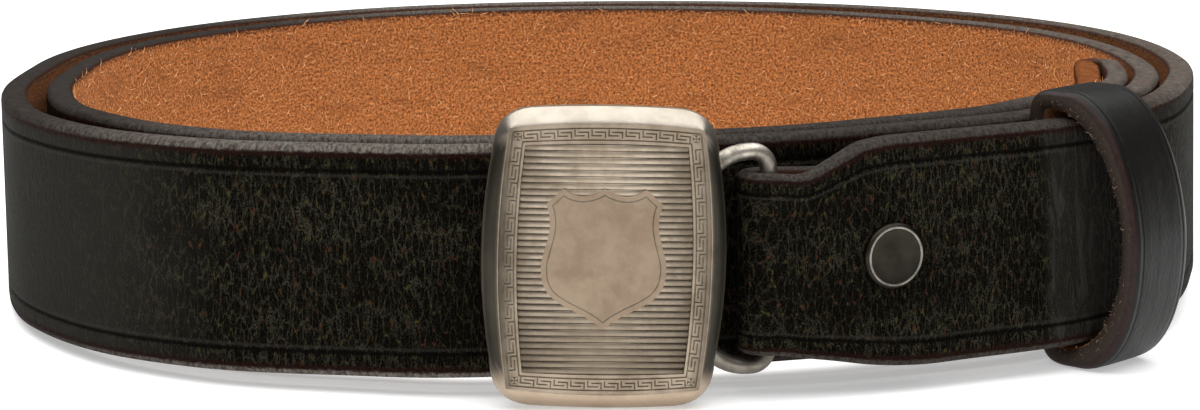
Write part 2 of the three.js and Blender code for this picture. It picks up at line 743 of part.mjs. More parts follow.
// Buckle plate: a hollow-backed engraved shell with a rounded bevel, hinge lugs for the
// wire loop, and a plain clamp bar round the strap behind it
function makeBucklePlate() {
  const shell = loft(PLATE_SHELL.map(({ inset, depth }) => plateRing(inset, depth)), false);
  const engraved = toSolid(shell).subtract(engraving());
  const place = new THREE.Matrix4().makeRotationZ(radians(PLATE_TURN));
  place.multiply(new THREE.Matrix4().makeRotationX(radians(-PLATE_LEAN)));
  place.multiply(new THREE.Matrix4().makeRotationY(radians(PLATE_ROLL)));
  place.setPosition(PLATE_FACE.x, PLATE_FACE.y, PLATE_FACE.z);

  const lugBack = new THREE.CylinderGeometry(LUG_RADIUS, LUG_RADIUS, LUG_HEIGHT, LUG_SIDES);
  lugBack.rotateX(Math.PI / 2);
  const lugRoot = new THREE.BoxGeometry(2 * LUG_RADIUS, LUG_DEPTH, LUG_HEIGHT);
  lugRoot.translate(0, -LUG_DEPTH / 2, 0);
  const bore = new THREE.CylinderGeometry(
    WIRE_RADIUS + CLEARANCE, WIRE_RADIUS + CLEARANCE, LUG_HEIGHT + 2 * CUT_PAST, LUG_SIDES);
  bore.rotateX(Math.PI / 2);
  const lug = toSolid(lugBack).add(toSolid(lugRoot)).subtract(toSolid(bore));
  const hingeHeight = (WIRE_LOW + WIRE_HIGH) / 2;
  const upperLug = lug.translate([HINGE.x, HINGE.y, hingeHeight + LUG_SPREAD]);
  const lowerLug = lug.translate([HINGE.x, HINGE.y, hingeHeight - LUG_SPREAD]);

  const slotHeight = STRAP_WIDTH + 2 * CLEARANCE;
  const frame = new THREE.BoxGeometry(CLAMP_WIDTH, CLAMP_DEPTH, slotHeight + 2 * CLAMP_THICKNESS);
  frame.translate(0, (CLAMP_THICKNESS - CLAMP_DEPTH) / 2, 0);
  const slot = new THREE.BoxGeometry(CLAMP_WIDTH + 2 * CUT_PAST, CLAMP_DEPTH, slotHeight);
  slot.translate(0, -(CLAMP_THICKNESS + CLAMP_DEPTH) / 2, 0);
  const clamp = toSolid(frame).subtract(toSolid(slot)).rotate([0, 0, CLAMP_TURN])
    .translate([CLAMP_BAR.x, CLAMP_BAR.y, STRAP_WIDTH / 2]);

  const inFront = new THREE.BoxGeometry(2 * PLATE_WIDTH, CLAMP_DEPTH, 2 * PLATE_HEIGHT);
  inFront.translate(0, PLATE_WALL - FITTING_BITE - CLAMP_DEPTH / 2, 0);
  inFront.applyMatrix4(place);
  const fittings = upperLug.add(lowerLug).add(clamp).subtract(toSolid(inFront));
  return toGeometry(engraved.transform(place.elements).add(fittings));
}

// The pieces, each with its own finish
const leather = { color: 0x241d17, roughness: 0.55, metalness: 0 };
const keeperLeather = { color: 0x2a2622, roughness: 0.5, metalness: 0 };
const silver = { color: 0xaba08f, roughness: 0.38, metalness: 1 };
const steel = { color: 0x6f6b60, roughness: 0.42, metalness: 1 };

function piece(name, geometry, finish) {
  const mesh = new THREE.Mesh(geometry, new THREE.MeshStandardMaterial(finish));
  mesh.name = name;
  return mesh;
}

const belt = new THREE.Group();
belt.add(piece("strap", makeStrap(), leather));
belt.add(piece("keeper", makeKeeper(), keeperLeather));
belt.add(piece("rivet", makeRivet(), steel));
belt.add(piece("wire_loop", makeWireLoop(), steel));
belt.add(piece("buckle_plate", makeBucklePlate(), silver));
belt.rotation.set(radians(REST_PITCH), radians(REST_ROLL), 0);
belt.position.set(SEAT.x, SEAT.y, SEAT.z);

const group = new THREE.Group();
group.add(belt);

export default group;
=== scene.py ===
# A black leather belt with an engraved plate buckle, wound in two turns and standing on
# its edge. Sizes are in millimetres in the belt's own frame: the plan's origin is the
# middle of the loop, and height 0 is the strap's lower edge.

import math

import bpy
import numpy as np
from mathutils import Matrix, Vector


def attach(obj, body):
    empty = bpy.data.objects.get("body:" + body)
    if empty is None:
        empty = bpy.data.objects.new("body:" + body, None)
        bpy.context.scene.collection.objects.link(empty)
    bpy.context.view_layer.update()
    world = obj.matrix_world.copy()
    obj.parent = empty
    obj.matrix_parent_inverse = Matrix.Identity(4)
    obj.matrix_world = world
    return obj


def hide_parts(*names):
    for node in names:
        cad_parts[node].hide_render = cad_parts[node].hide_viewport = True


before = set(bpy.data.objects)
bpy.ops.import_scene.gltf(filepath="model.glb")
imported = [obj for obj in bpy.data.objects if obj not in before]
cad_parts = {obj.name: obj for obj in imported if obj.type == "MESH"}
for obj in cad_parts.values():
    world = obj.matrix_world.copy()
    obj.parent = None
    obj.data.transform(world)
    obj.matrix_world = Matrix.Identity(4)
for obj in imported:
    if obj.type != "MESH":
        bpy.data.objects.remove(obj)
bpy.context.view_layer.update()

# Camera
# It stands level with a person looking a little down at the belt's front, and it leans
# with the belt, which rests on its back edge, its keeper and its buckle.
REST_PITCH = math.radians(-0.705)
REST_ROLL = math.radians(-0.887)
SEAT = Vector((-0.35, 3.266, 1.629))
MILLIMETRE = 0.001
resting = (
    Matrix.Translation(SEAT)
    @ Matrix.Rotation(REST_PITCH, 4, "X")
    @ Matrix.Rotation(REST_ROLL, 4, "Y")
)

CAMERA_PLACE = Vector((-1.0, -437.36, 84.10))
CAMERA_DOWN = math.radians(10)
CAMERA_TWIST = math.radians(-0.397)


def add_object(name, data):
    made = bpy.data.objects.new(name, data)
    bpy.context.scene.collection.objects.link(made)
    return made


camera_data = bpy.data.cameras.new("camera")
camera_data.lens = 90.25
camera_data.sensor_width = 36
camera_data.clip_start = 0.01
camera = add_object("camera", camera_data)
bpy.context.scene.camera = camera
standing = (
    resting
    @ Matrix.Translation(CAMERA_PLACE)
    @ Matrix.Rotation(math.radians(90) - CAMERA_DOWN, 4, "X")
    @ Matrix.Rotation(CAMERA_TWIST, 4, "Z")
)
standing.translation *= MILLIMETRE
camera.matrix_world = standing


# Strap
# One length of thick leather, black on its grain side and raw tan behind, with rounded,
# burnished and dyed edges and a pressed crease along each. It runs from the fold on the
# wire loop round the loop twice, and ends in a tight return with a rounded tip.
STRAP_WIDTH = 28.6
LEATHER = 3.6
SKIVED = 2.4
BAR_BEARING = -76.2
LOOP_FIRST = BAR_BEARING + 0.8
LOOP_STEP = 0.9
TURN_BACK_BEARING = 716
TURN_BACK_GAP = 0.8
TIP_LEATHER = 3.0
TIP_LENGTH = 35
TIP_BLUNT = 3
BEND_STEPS = 24
TIP_STEPS = 40

# Reach of the outermost face from the loop's middle, and the lean of the strap there
LOOP = {
    "bearing": [0, 30, 60, 90, 120, 150, 180, 200, 215, 225, 235, 250, 265, 284, 300, 315, 330, 345],
    "reach": [85.0, 86.7, 84.4, 81.6, 83.1, 83.4, 83.9, 88.0, 91.8, 92.7, 91.2, 85.9, 83.6,
              84.95, 85.0, 87.4, 86.4, 84.8],
    "lean": [0.6, 0.4, 0, 0, 0, 0, 0, 0, 0, 0, 0, 0, 0, 0, 1.8, 2.4, 1.7, 0.8],
}

# How far inside that outline the strap's grain face lies, on through both turns
WIND = {
    "bearing": [-80, 252, 264, 274, 281, 294, 303, 311, 321, 328, 335, 342, 357, 388, 410, 432,
                450, 500, 520, 540, 568, 582, 612, 624, 634, 642, 664, 671, 681, 689, 695, 702, 716],
    "inset": [0, 0, 2.2, 6.3, 7.7, 8.1, 7.7, 7.65, 7.65, 5.7, 4.5, 4.4, 5.8, 8.8, 10.6, 9.0,
              8.0, 7.6, 6.2, 5.8, 6.5, 7.4, 7.1, 9.0, 11.6, 12.6, 13.1, 13.8, 13.8, 11.3, 9.5, 8.6, 9.9],
}

# The narrowed buckle end: its lower and upper edge and its thickness
BUCKLE_END = {
    "bearing": [-80, -76.2, -74, -71, -68, -65, -62],
    "low": [2.8, 2.7, 2.2, 1.5, 0.7, 0.2, 0],
    "high": [25.3, 25.0, 24.7, 26.4, 28.2, STRAP_WIDTH, STRAP_WIDTH],
    "thickness": [SKIVED, SKIVED, 2.6, 3.1, 3.5, LEATHER, LEATHER],
}
TAIL = {"bearing": [680, 716], "thickness": [LEATHER, TIP_LEATHER]}

# The flap behind the strap, from the fold to past the rivet
FLAP_END_BEARING = -60
FLAP_THICKNESS = 2.2
FLAP = {
    "bearing": [-76.2, -72, -66, -60],
    "inset": [5.1, 4.2, 3.95, 3.95],
    "low": [2.7, 2.5, 2.6, 4.6],
    "high": [25.0, 24.9, 24.8, 22.8],
}
WIRE_RADIUS = 1.05
CLEARANCE = 0.3


def column(table, name, bearing):
    """Smooth curve through one column of a table, level at its highs, lows and ends."""
    at = table["bearing"]
    value = table[name]
    if bearing <= at[0]:
        return value[0]
    if bearing >= at[-1]:
        return value[-1]
    rates = [(value[i + 1] - value[i]) / (at[i + 1] - at[i]) for i in range(len(at) - 1)]

    def slope(index):
        if index == 0 or index == len(at) - 1:
            return 0
        arriving = rates[index - 1]
        leaving = rates[index]
        if arriving * leaving <= 0:
            return 0
        return 2 * arriving * leaving / (arriving + leaving)

    row = max(i for i in range(len(at) - 1) if at[i] <= bearing)
    span = at[row + 1] - at[row]
    t = (bearing - at[row]) / span
    rise = value[row + 1] - value[row]
    eased = rise * t * t * (3 - 2 * t)
    return value[row] + eased + slope(row) * span * t * (1 - t) ** 2 - slope(row + 1) * span * t * t * (1 - t)


whole_loop = {
    "bearing": [b + 360 * turn for turn in (-1, 0, 1) for b in LOOP["bearing"]],
    "reach": LOOP["reach"] * 3,
    "lean": LOOP["lean"] * 3,
}


def reach(bearing):
    return column(whole_loop, "reach", bearing % 360)


def lean(bearing):
    return column(whole_loop, "lean", bearing % 360)


def plan_point(bearing, distance):
    angle = math.radians(bearing)
    return np.array([distance * math.cos(angle), distance * math.sin(angle)])


def seat_at(bearing):
    """In plan, the loop's outermost face at a bearing, the way out from it and the way along."""
    out = plan_point(bearing, 1)
    return plan_point(bearing, reach(bearing)), out, np.array([-out[1], out[0]])


def face_reach(bearing):
    return reach(bearing) - column(WIND, "inset", bearing)


def edges(table, bearing):
    return column(table, "low", bearing), column(table, "high", bearing)


# Stations of the strap: plan point, thickness, lower edge, upper edge and lean
stations = []
for bearing in np.arange(FLAP_END_BEARING, BAR_BEARING + 0.5, -0.8):
    near = reach(bearing) - column(FLAP, "inset", bearing)
    stations.append((
        plan_point(bearing, near - FLAP_THICKNESS / 2), FLAP_THICKNESS,
        *edges(FLAP, bearing), lean(bearing),
    ))

fold_radius = WIRE_RADIUS + CLEARANCE + SKIVED / 2
wire_bar = plan_point(BAR_BEARING, reach(BAR_BEARING) - SKIVED / 2 - fold_radius)
for step in range(BEND_STEPS + 1):
    around = BAR_BEARING + 180 * (step / BEND_STEPS - 1)
    stations.append((wire_bar + plan_point(around, fold_radius), SKIVED, *edges(BUCKLE_END, BAR_BEARING), 0))

loop_start = len(stations)
for bearing in np.arange(LOOP_FIRST, TURN_BACK_BEARING - 0.2, LOOP_STEP):
    thickness = min(column(BUCKLE_END, "thickness", bearing), column(TAIL, "thickness", bearing))
    stations.append((
        plan_point(bearing, face_reach(bearing) - thickness / 2), thickness,
        *edges(BUCKLE_END, bearing), lean(bearing),
    ))

turn_start = len(stations)
turn_radius = (TIP_LEATHER + TURN_BACK_GAP) / 2
turn_middle = face_reach(TURN_BACK_BEARING) - TIP_LEATHER / 2 - turn_radius
for step in range(BEND_STEPS + 1):
    around = TURN_BACK_BEARING + 180 * step / BEND_STEPS
    stations.append((
        plan_point(TURN_BACK_BEARING, turn_middle) + plan_point(around, turn_radius),
        TIP_LEATHER, 0, STRAP_WIDTH, lean(TURN_BACK_BEARING),
    ))
tip_span = math.degrees(TIP_LENGTH / turn_middle)
half = STRAP_WIDTH / 2
for step in range(1, TIP_STEPS + 1):
    along = math.sin(math.pi / 2 * step / TIP_STEPS)
    bearing = TURN_BACK_BEARING - tip_span * along
    beside = face_reach(bearing) - column(TAIL, "thickness", bearing) - TURN_BACK_GAP
    rounded = TIP_BLUNT + (half - TIP_BLUNT) * (1 - along ** 1.1)
    swollen = TIP_LEATHER + (TURN_BACK_GAP - 0.1) * (1 - along)
    stations.append((
        plan_point(bearing, beside - TIP_LEATHER + swollen / 2), swollen,
        half - rounded, half + rounded, lean(bearing),
    ))

# The strap's section: across the grain face, over the upper edge and down the flesh side.
# Each point is a part of the thickness, then how far it lies from the nearer edge.
CREASE_IN = 3.1
CREASE_DEPTH = 0.24
EDGE_GIRTH = 3.6
GRAIN_SIDE = [
    (0.5, 1.25), (0.5, 1.7), (0.5, 2.3), (0.5, 2.75), ("crease", CREASE_IN), (0.5, 3.45),
    (0.5, 3.9), (0.5, 5.0), (0.5, 7.0), (0.5, 9.5), (0.5, 12.0),
]
EDGE = [
    (0.485, 0.75), (0.43, 0.36), (0.33, 0.12), (0.2, 0.02), (0.0, 0.0),
    (-0.2, 0.03), (-0.33, 0.11), (-0.42, 0.26), (-0.48, 0.5),
]
FLESH_SIDE = [(-0.5, 0.9), (-0.5, 2.0), (-0.5, 4.0), (-0.5, 7.0), (-0.5, 10.5)]
SEAM_GIRTH = STRAP_WIDTH + EDGE_GIRTH


def half_section(thickness, low, high):
    """Depth, height and girth of the upper half, from the grain's middle to the flesh's."""
    middle = (low + high) / 2
    scale = (high - low) / STRAP_WIDTH
    rows = [(thickness / 2, middle, 0.0)]
    for part, inward in reversed(GRAIN_SIDE):
        depth = thickness / 2 - CREASE_DEPTH * min(1, scale) if part == "crease" else part * thickness
        rows.append((depth, high - inward * scale, STRAP_WIDTH / 2 - inward))
    for order, (part, inward) in enumerate(EDGE):
        girth = STRAP_WIDTH / 2 - 1 + (EDGE_GIRTH + 2) * (order + 1) / (len(EDGE) + 1)
        rows.append((part * thickness, high - inward * scale, girth))
    for part, inward in FLESH_SIDE:
        rows.append((part * thickness, high - inward * scale, STRAP_WIDTH / 2 + EDGE_GIRTH + inward))
    rows.append((-thickness / 2, middle, SEAM_GIRTH))
    return rows


def station_ring(index):
    point, thickness, low, high, leaning = stations[index]
    before = stations[max(0, index - 1)][0]
    after = stations[min(len(stations) - 1, index + 1)][0]
    run = (after - before) / np.linalg.norm(after - before)
    grain = np.array([run[1], -run[0]])
    side = 1 if grain @ point >= 0 else -1
    middle = (low + high) / 2
    upper = half_section(thickness, low, high)
    lower = [(depth, 2 * middle - height, -girth) for depth, height, girth in upper[1:-1]]
    ring = []
    for depth, height, girth in list(reversed(upper)) + lower:
        leaned = depth - side * leaning * (height / STRAP_WIDTH - 0.5)
        ring.append((point[0] + grain[0] * leaned, point[1] + grain[1] * leaned, height, girth))
    return ring


def distances(points):
    """How far along a run of points each one lies."""
    along = [0.0]
    for before, after in zip(points, points[1:]):
        along.append(along[-1] + math.dist(before, after))
    return along


def ring_numbers(rings, count):
    return [list(range(ring * count, (ring + 1) * count)) for ring in range(rings)]


def ring_faces(rings, around=False, turned=False):
    """Faces between following rings of point numbers, and from the last to the first."""
    faces = []
    for near, far in zip(rings, rings[1:] + rings[:1] if around else rings[1:]):
        for side in range(len(near)):
            beside = (side + 1) % len(near)
            second, last = (far[side], near[beside]) if turned else (near[beside], far[side])
            faces.append(tuple(dict.fromkeys((near[side], second, far[beside], last))))
    return faces


def ring_map(rows, columns, turned=False):
    """Map places of such faces, from the value of each ring and of each side."""
    places = []
    for near, far in zip(rows, rows[1:]):
        for here, beside in zip(columns, columns[1:]):
            second, last = ((far, here), (near, beside)) if turned else ((near, beside), (far, here))
            places += [(near, here), second, (far, beside), last]
    return places


def shell(rows):
    """Rows of points joined side by side, with the first and last row closed over."""
    numbers = ring_numbers(len(rows), len(rows[0]))
    faces = ring_faces(numbers) + [tuple(reversed(numbers[0])), tuple(numbers[-1])]
    return [point for row in rows for point in row], faces


def add_mesh(name, points, faces=()):
    mesh = bpy.data.meshes.new(name)
    mesh.from_pydata(points, [], faces)
    return add_object(name, mesh)


def soften(piece):
    """Smooth shading on all but the faces with many corners."""
    for polygon in piece.data.polygons:
        polygon.use_smooth = len(polygon.vertices) <= 4


def belt_mesh(name, points, faces, materials, places=None):
    """A smooth mesh object from points in the belt's frame, put where the belt rests."""
    piece = add_mesh(name, [(resting @ Vector(point)) * MILLIMETRE for point in points], faces)
    if places:
        layer = piece.data.uv_layers.new(name="run")
        layer.data.foreach_set("uv", np.asarray(places, dtype=np.float32).ravel())
    for material in materials:
        piece.data.materials.append(material)
    soften(piece)
    return piece


rings = [station_ring(index) for index in range(len(stations))]
sides = len(rings[0])
lengths = distances([station[0] for station in stations])
girths = [girth for x, y, z, girth in rings[0]] + [-SEAM_GIRTH]
strap_points, strap_faces = shell([[(x, y, z) for x, y, z, girth in ring] for ring in rings])
strap_map = ring_map(lengths, girths)
for length in (lengths[0], lengths[-1]):
    strap_map += [(length, STRAP_WIDTH / 2 + 2)] * sides


class Number:
    """A number in a node tree. Arithmetic with it adds math nodes to that tree."""

    def __init__(self, socket):
        self.socket = socket
        self.tree = socket.id_data

    def worked(self, operation, first, second=0.0):
        made = node(self.tree, "ShaderNodeMath", {0: first, 1: second}, operation=operation)
        return Number(made.outputs[0])

    def __add__(self, other):
        return self.worked("ADD", self, other)

    def __sub__(self, other):
        return self.worked("SUBTRACT", self, other)

    def __rsub__(self, other):
        return self.worked("SUBTRACT", other, self)

    def __mul__(self, other):
        return self.worked("MULTIPLY", self, other)

    def __abs__(self):
        return self.worked("ABSOLUTE", self)

    def larger(self, other):
        return self.worked("MAXIMUM", self, other)

    def smaller(self, other):
        return self.worked("MINIMUM", self, other)

    def clamped(self):
        self.socket.node.use_clamp = True
        return self

    def fade(self, start, end):
        """0 up to start and 1 from end on, eased between them."""
        made = node(self.tree, "ShaderNodeMapRange", {"Value": self, "From Min": start, "From Max": end},
                    interpolation_type="SMOOTHSTEP")
        return Number(made.outputs[0])

    def span(self, start, full, waning, end):
        """1 from full to waning, and 0 before start and past end."""
        return self.fade(start, full) * (1 - self.fade(waning, end))

    def band(self, middle, full, gone):
        """1 within a distance of full from a middle value, and 0 beyond a distance of gone."""
        return 1 - abs(self - middle).fade(full, gone)


def feed(made, inputs):
    """Sets inputs of a node, given by name or place, to values or to sockets of its tree."""
    for name, value in inputs.items():
        if isinstance(value, Number):
            value = value.socket
        if isinstance(value, bpy.types.NodeSocket):
            made.id_data.links.new(value, made.inputs[name])
        else:
            made.inputs[name].default_value = value


def node(tree, kind, inputs=None, **settings):
    made = tree.nodes.new(kind)
    for name, value in settings.items():
        setattr(made, name, value)
    feed(made, inputs or {})
    return made


def paint(base, *coats):
    """A colour with others laid over it in turn, each given by its amount and its colour."""
    for amount, colour in coats:
        mixed = node(amount.tree, "ShaderNodeMix", {0: amount, 6: base, 7: colour}, data_type="RGBA")
        base = mixed.outputs[2]
    return base


def new_material(name, **values):
    material = bpy.data.materials.new(name)
    material.use_nodes = True
    shader = material.node_tree.nodes["Principled BSDF"]
    feed(shader, {socket.replace("_", " "): value for socket, value in values.items()})
    return material, material.node_tree, shader


def surface(shader, colour, roughness, height, strength, distance):
    bump = node(shader.id_data, "ShaderNodeBump", {
        "Strength": strength, "Distance": distance, "Height": height})
    feed(shader, {"Base Color": colour, "Roughness": roughness, "Normal": bump.outputs[0]})


def new_group(name, takes, gives):
    """A shader group from what it takes, with the usual values, and what it gives."""
    group = bpy.data.node_groups.new(name, "ShaderNodeTree")
    for socket, usual in takes.items():
        kind = "NodeSocketColor" if isinstance(usual, tuple) else "NodeSocketFloat"
        group.interface.new_socket(socket, in_out="INPUT", socket_type=kind).default_value = usual
    for socket in gives:
        kind = "NodeSocketColor" if socket == "Colour" else "NodeSocketFloat"
        group.interface.new_socket(socket, in_out="OUTPUT", socket_type=kind)
    taken = {socket.name: Number(socket) for socket in group.nodes.new("NodeGroupInput").outputs}
    return group, taken, group.nodes.new("NodeGroupOutput")


def apart(place):
    """The three numbers of a place or another vector."""
    parts = node(place.id_data, "ShaderNodeSeparateXYZ", {0: place})
    return [Number(part) for part in parts.outputs]


def object_place(tree):
    return node(tree, "ShaderNodeTexCoord").outputs["Object"]


def noise(place, scale=1.0, detail=3.0, rough=0.6, distortion=0.0):
    made = node(place.id_data, "ShaderNodeTexNoise", {
        "Vector": place, "Scale": scale, "Detail": detail, "Roughness": rough, "Distortion": distortion,
    })
    return Number(made.outputs["Fac"])


def vector(tree, **parts):
    return node(tree, "ShaderNodeCombineXYZ", parts).outputs[0]


def stretched(run, across, run_scale, across_scale, seed):
    """A place on the leather, drawn out along the strap or across it."""
    return vector(run.tree, X=run * run_scale, Y=across * across_scale, Z=float(seed))


def speckle(run, across, run_scale, across_scale, seed, detail=3.0, rough=0.6, distortion=0.0):
    return noise(stretched(run, across, run_scale, across_scale, seed), 1.0, detail, rough, distortion)


def vector_math(tree, operation, first, second):
    name = "Scale" if operation == "SCALE" else 1
    return node(tree, "ShaderNodeVectorMath", {0: first, name: second}, operation=operation).outputs[0]


def wandered(place, scale, amount):
    """A place pushed about by a noise, so that cells and lines lose their straightness."""
    tree = place.id_data
    swirl = node(tree, "ShaderNodeTexNoise", {"Vector": place, "Scale": scale, "Detail": 2.0})
    centred = vector_math(tree, "SUBTRACT", swirl.outputs["Color"], (0.5, 0.5, 0.5))
    return vector_math(tree, "ADD", place, vector_math(tree, "SCALE", centred, amount))


def cells(place):
    made = node(place.id_data, "ShaderNodeTexVoronoi", {"Vector": place, "Scale": 1.0},
                feature="DISTANCE_TO_EDGE")
    return Number(made.outputs["Distance"])


# Leather grain, shared by the strap and the keeper: black hollows drawn out across the
# strap, ridges between them paled partly by wear and partly by a painted highlight, with
# rust and olive specks, a few scratches, and a painted sheen where the grain is polished.
grain_group, given, result = new_group(
    "leather_grain",
    {
        "Run": 0.0,
        "Across": 0.0,
        "Hollow": (0.0026, 0.0022, 0.0013, 1),
        "Ridge": (0.041, 0.038, 0.026, 1),
        "Painted sheen": (0.027, 0.026, 0.0215, 1),
        "Polish and sheen": 0.0,
        "Depth": 1.0,
        "Specks": 1.0,
    },
    ["Colour", "Height", "Roughness"],
)
run = given["Run"]
across = given["Across"]
ridge = 1 - cells(wandered(stretched(run, across, 1.25, 0.38, 3), 2.2, 0.6)).fade(0.02, 0.15)
fine_ridge = 1 - cells(wandered(stretched(run, across, 3.0, 1.0, 11), 2.0, 0.7)).fade(0.02, 0.2)
pores = speckle(run, across, 5.0, 4.0, 5)
broad = speckle(run, across, 0.045, 0.12, 8, rough=0.55)
worn = broad.fade(0.38, 0.62) * 0.6 + 0.5
# The ridges are paled by wear and by a painted highlight
ridge_wear_and_highlight = (ridge * 0.75 + fine_ridge * 0.3) * pores.fade(0.36, 0.58)
tint = speckle(run, across, 0.3, 0.42, 21)
olive_or_rust = paint((0.050, 0.045, 0.016, 1), (tint.fade(0.47, 0.56), (0.062, 0.024, 0.012, 1)))
here_and_there = speckle(run, across, 1.6, 0.9, 17, detail=2.0).fade(0.54, 0.68)
drawn_line = speckle(run, across, 0.5, 0.14, 31, detail=1.0, rough=0.4, distortion=1.6)
patchy = speckle(run, across, 0.2, 0.25, 41, detail=2.0, rough=0.5).fade(0.55, 0.64)
scratch = drawn_line.band(0.52, 0.0, 0.0035) * patchy * given["Specks"]
relief = (ridge * 0.6 + fine_ridge * 0.25) * given["Depth"] + pores * 0.14
feed(result, {
    "Colour": paint(
        given["Hollow"],
        ((ridge_wear_and_highlight * worn).clamped(), given["Ridge"]),
        (ridge * here_and_there * given["Specks"], olive_or_rust),
        (scratch * 0.45, (0.11, 0.10, 0.07, 1)),
        # A painted sheen over the polished grain
        ((given["Polish and sheen"] * (pores * 0.6 + 0.42)).clamped(), given["Painted sheen"]),
    ),
    "Height": relief * (1 - given["Polish and sheen"] * 0.45),
    "Roughness": broad * 0.2 + 0.34 + pores * 0.16,
})

# How far round the section the dyed edge and the bare flesh side begin
GIRTH_TO_EDGE = STRAP_WIDTH / 2 - 0.9
GIRTH_TO_FLESH = STRAP_WIDTH / 2 + 4.1


def run_and_girth(tree):
    """Millimetres along the strap and round its section, from the piece's own map."""
    return apart(node(tree, "ShaderNodeUVMap", uv_map="run").outputs[0])[:2]


def grained_leather(name, gloss, **grain_values):
    """A leather material, its shader and grain, and how far along and round it a point lies."""
    material, tree, shader = new_material(name, IOR=gloss)
    run, girth = run_and_girth(tree)
    grain = node(tree, "ShaderNodeGroup", {"Run": run, "Across": girth, **grain_values},
                 node_tree=grain_group)
    return material, shader, grain, run, girth


def run_at(bearing):
    """How far along the strap its outer turn passes a bearing."""
    return float(np.interp((bearing - LOOP_FIRST) / LOOP_STEP + loop_start, range(len(lengths)), lengths))


# Where the loop bends sharply at the left, use has polished the grain nearly flat, and a
# painted sheen lies there. The keeper has pressed it in front, where its wrinkles carry
# painted highlights. The tip is raw from half way round its return. The inner turn starts
# about where its flesh side comes out from behind the other turns.
POLISH_AND_SHEEN = [run_at(bearing) + 4 for bearing in (198, 207, 226, 240)]
PRESSED_WITH_HIGHLIGHTS = [run_at(bearing) for bearing in (-51.2, -49.4, -46, -42)]
RAW_TIP = lengths[turn_start + 16]
INNER_TURN = loop_start + 470

black_leather, shader, grain, run, girth = grained_leather("black_strap_leather", 1.05)
around = abs(girth)
polish_and_sheen = (run + speckle(run, girth, 0.12, 0.1, 52) * 9.0).span(*POLISH_AND_SHEEN)
pressed_with_highlights = run.span(*PRESSED_WITH_HIGHLIGHTS)
feed(grain, {"Polish and sheen": polish_and_sheen.larger(pressed_with_highlights * 0.8)})
wrinkles = speckle(run, girth, 0.75, 0.13, 61, distortion=0.6)
wandering = around + (speckle(run, girth, 0.9, 1.1, 2, rough=0.65) - 0.5) * 1.1
on_edge = wandering.fade(GIRTH_TO_EDGE - 0.1, GIRTH_TO_EDGE + 0.55)
pits = speckle(run, girth, 2.6, 0.8, 15, detail=4.0, rough=0.7)
raw = paint((0.10, 0.032, 0.011, 1), (pits.fade(0.30, 0.70), (0.24, 0.082, 0.026, 1)))
raw = paint((0.050, 0.016, 0.010, 1), (run.fade(RAW_TIP, RAW_TIP + 3.5), raw))
raw_rim = run.fade(RAW_TIP - 3, RAW_TIP + 2) * wandering.fade(GIRTH_TO_EDGE - 4.5, GIRTH_TO_EDGE - 1.0)

# The edges are paler at the loop's front, back and right, and darker at the left
x, y, z = apart(object_place(run.tree))
paler_edges = abs(y).fade(0.047, 0.086).larger(x.fade(0.0, 0.05) * 0.7)
by_fold = x.fade(0.0, 0.015) * (1 - y.fade(-0.05, -0.025))
browned = speckle(run, girth, 1.0, 1.3, 71, detail=4.0, rough=0.7).fade(0.52, 0.64)
edge_colour = paint(
    (0.048, 0.039, 0.034, 1),
    (pits.fade(0.34, 0.66), (0.185, 0.166, 0.146, 1)),
    (browned * (x.fade(0.02, 0.07) * 0.6 + 0.25), (0.15, 0.065, 0.028, 1)),
    ((1 - paler_edges * (1 - by_fold * 0.84)) * 0.82, (0.012, 0.010, 0.009, 1)),
    (run.fade(RAW_TIP - 4, RAW_TIP + 2), raw),
)

# The crease along each edge is painted as a dark line of shade, with a painted highlight along its inner side
crease_at = STRAP_WIDTH / 2 - CREASE_IN
coloured = paint(
    grain.outputs["Colour"],
    # Painted highlights on the wrinkles where the keeper presses the strap
    (pressed_with_highlights * wrinkles.fade(0.50, 0.62), (0.034, 0.034, 0.031, 1)),
    (raw_rim, raw),
    (around.band(crease_at - 0.6, 0.05, 0.3) * 0.35, (0.045, 0.042, 0.036, 1)),
    (around.band(crease_at, 0.1, 0.4) * 0.8, (0.004, 0.0035, 0.003, 1)),
    (on_edge, edge_colour),
    (wandering.band(GIRTH_TO_EDGE - 0.1, 0.15, 0.75) * 0.75, (0.020, 0.0070, 0.0055, 1)),
    (wandering.fade(GIRTH_TO_FLESH - 1.0, GIRTH_TO_FLESH - 0.3) * 0.8, (0.040, 0.015, 0.009, 1)),
)
height = (1 - on_edge) * grain.outputs["Height"] + on_edge * (pits * 0.12)
height = height + wrinkles * (pressed_with_highlights * 1.6 + polish_and_sheen * 0.4)
surface(shader, coloured, on_edge * 0.06 + grain.outputs["Roughness"], height, 1.0, 0.0004)

tan_flesh, tree, shader = new_material("tan_flesh_side", Specular_IOR_Level=0.15)
run, girth = run_and_girth(tree)
nap = noise(wandered(stretched(run, girth, 2.4, 2.4, 4), 1.5, 0.9), detail=5.0, rough=0.75)
fibres = noise(wandered(stretched(run, girth, 1.1, 4.2, 9), 0.8, 1.6), rough=0.65)
stained = speckle(run, girth, 0.09, 0.2, 6, detail=4.0, rough=0.62)
dyed_rim = 1 - (abs(girth) + (nap - 0.5) * 3.4).fade(GIRTH_TO_FLESH - 0.4, GIRTH_TO_FLESH + 1.0)
# Between the turns the flesh side is darkened to a dull brown with painted shade
between = 1 - run.fade(lengths[INNER_TURN], lengths[INNER_TURN + 30])
tan = paint(
    (0.165, 0.048, 0.012, 1),
    (nap.fade(0.36, 0.64), (0.790, 0.288, 0.088, 1)),
    (fibres.fade(0.58, 0.7) * 0.6, (0.78, 0.38, 0.16, 1)),
    (stained.fade(0.5, 0.7) * 0.35, (0.20, 0.070, 0.022, 1)),
    (dyed_rim, (0.045, 0.013, 0.008, 1)),
    (between * 0.55, (0.060, 0.027, 0.014, 1)),
)
surface(shader, tan, 0.95, nap + fibres * 0.6, 0.9, 0.0005)

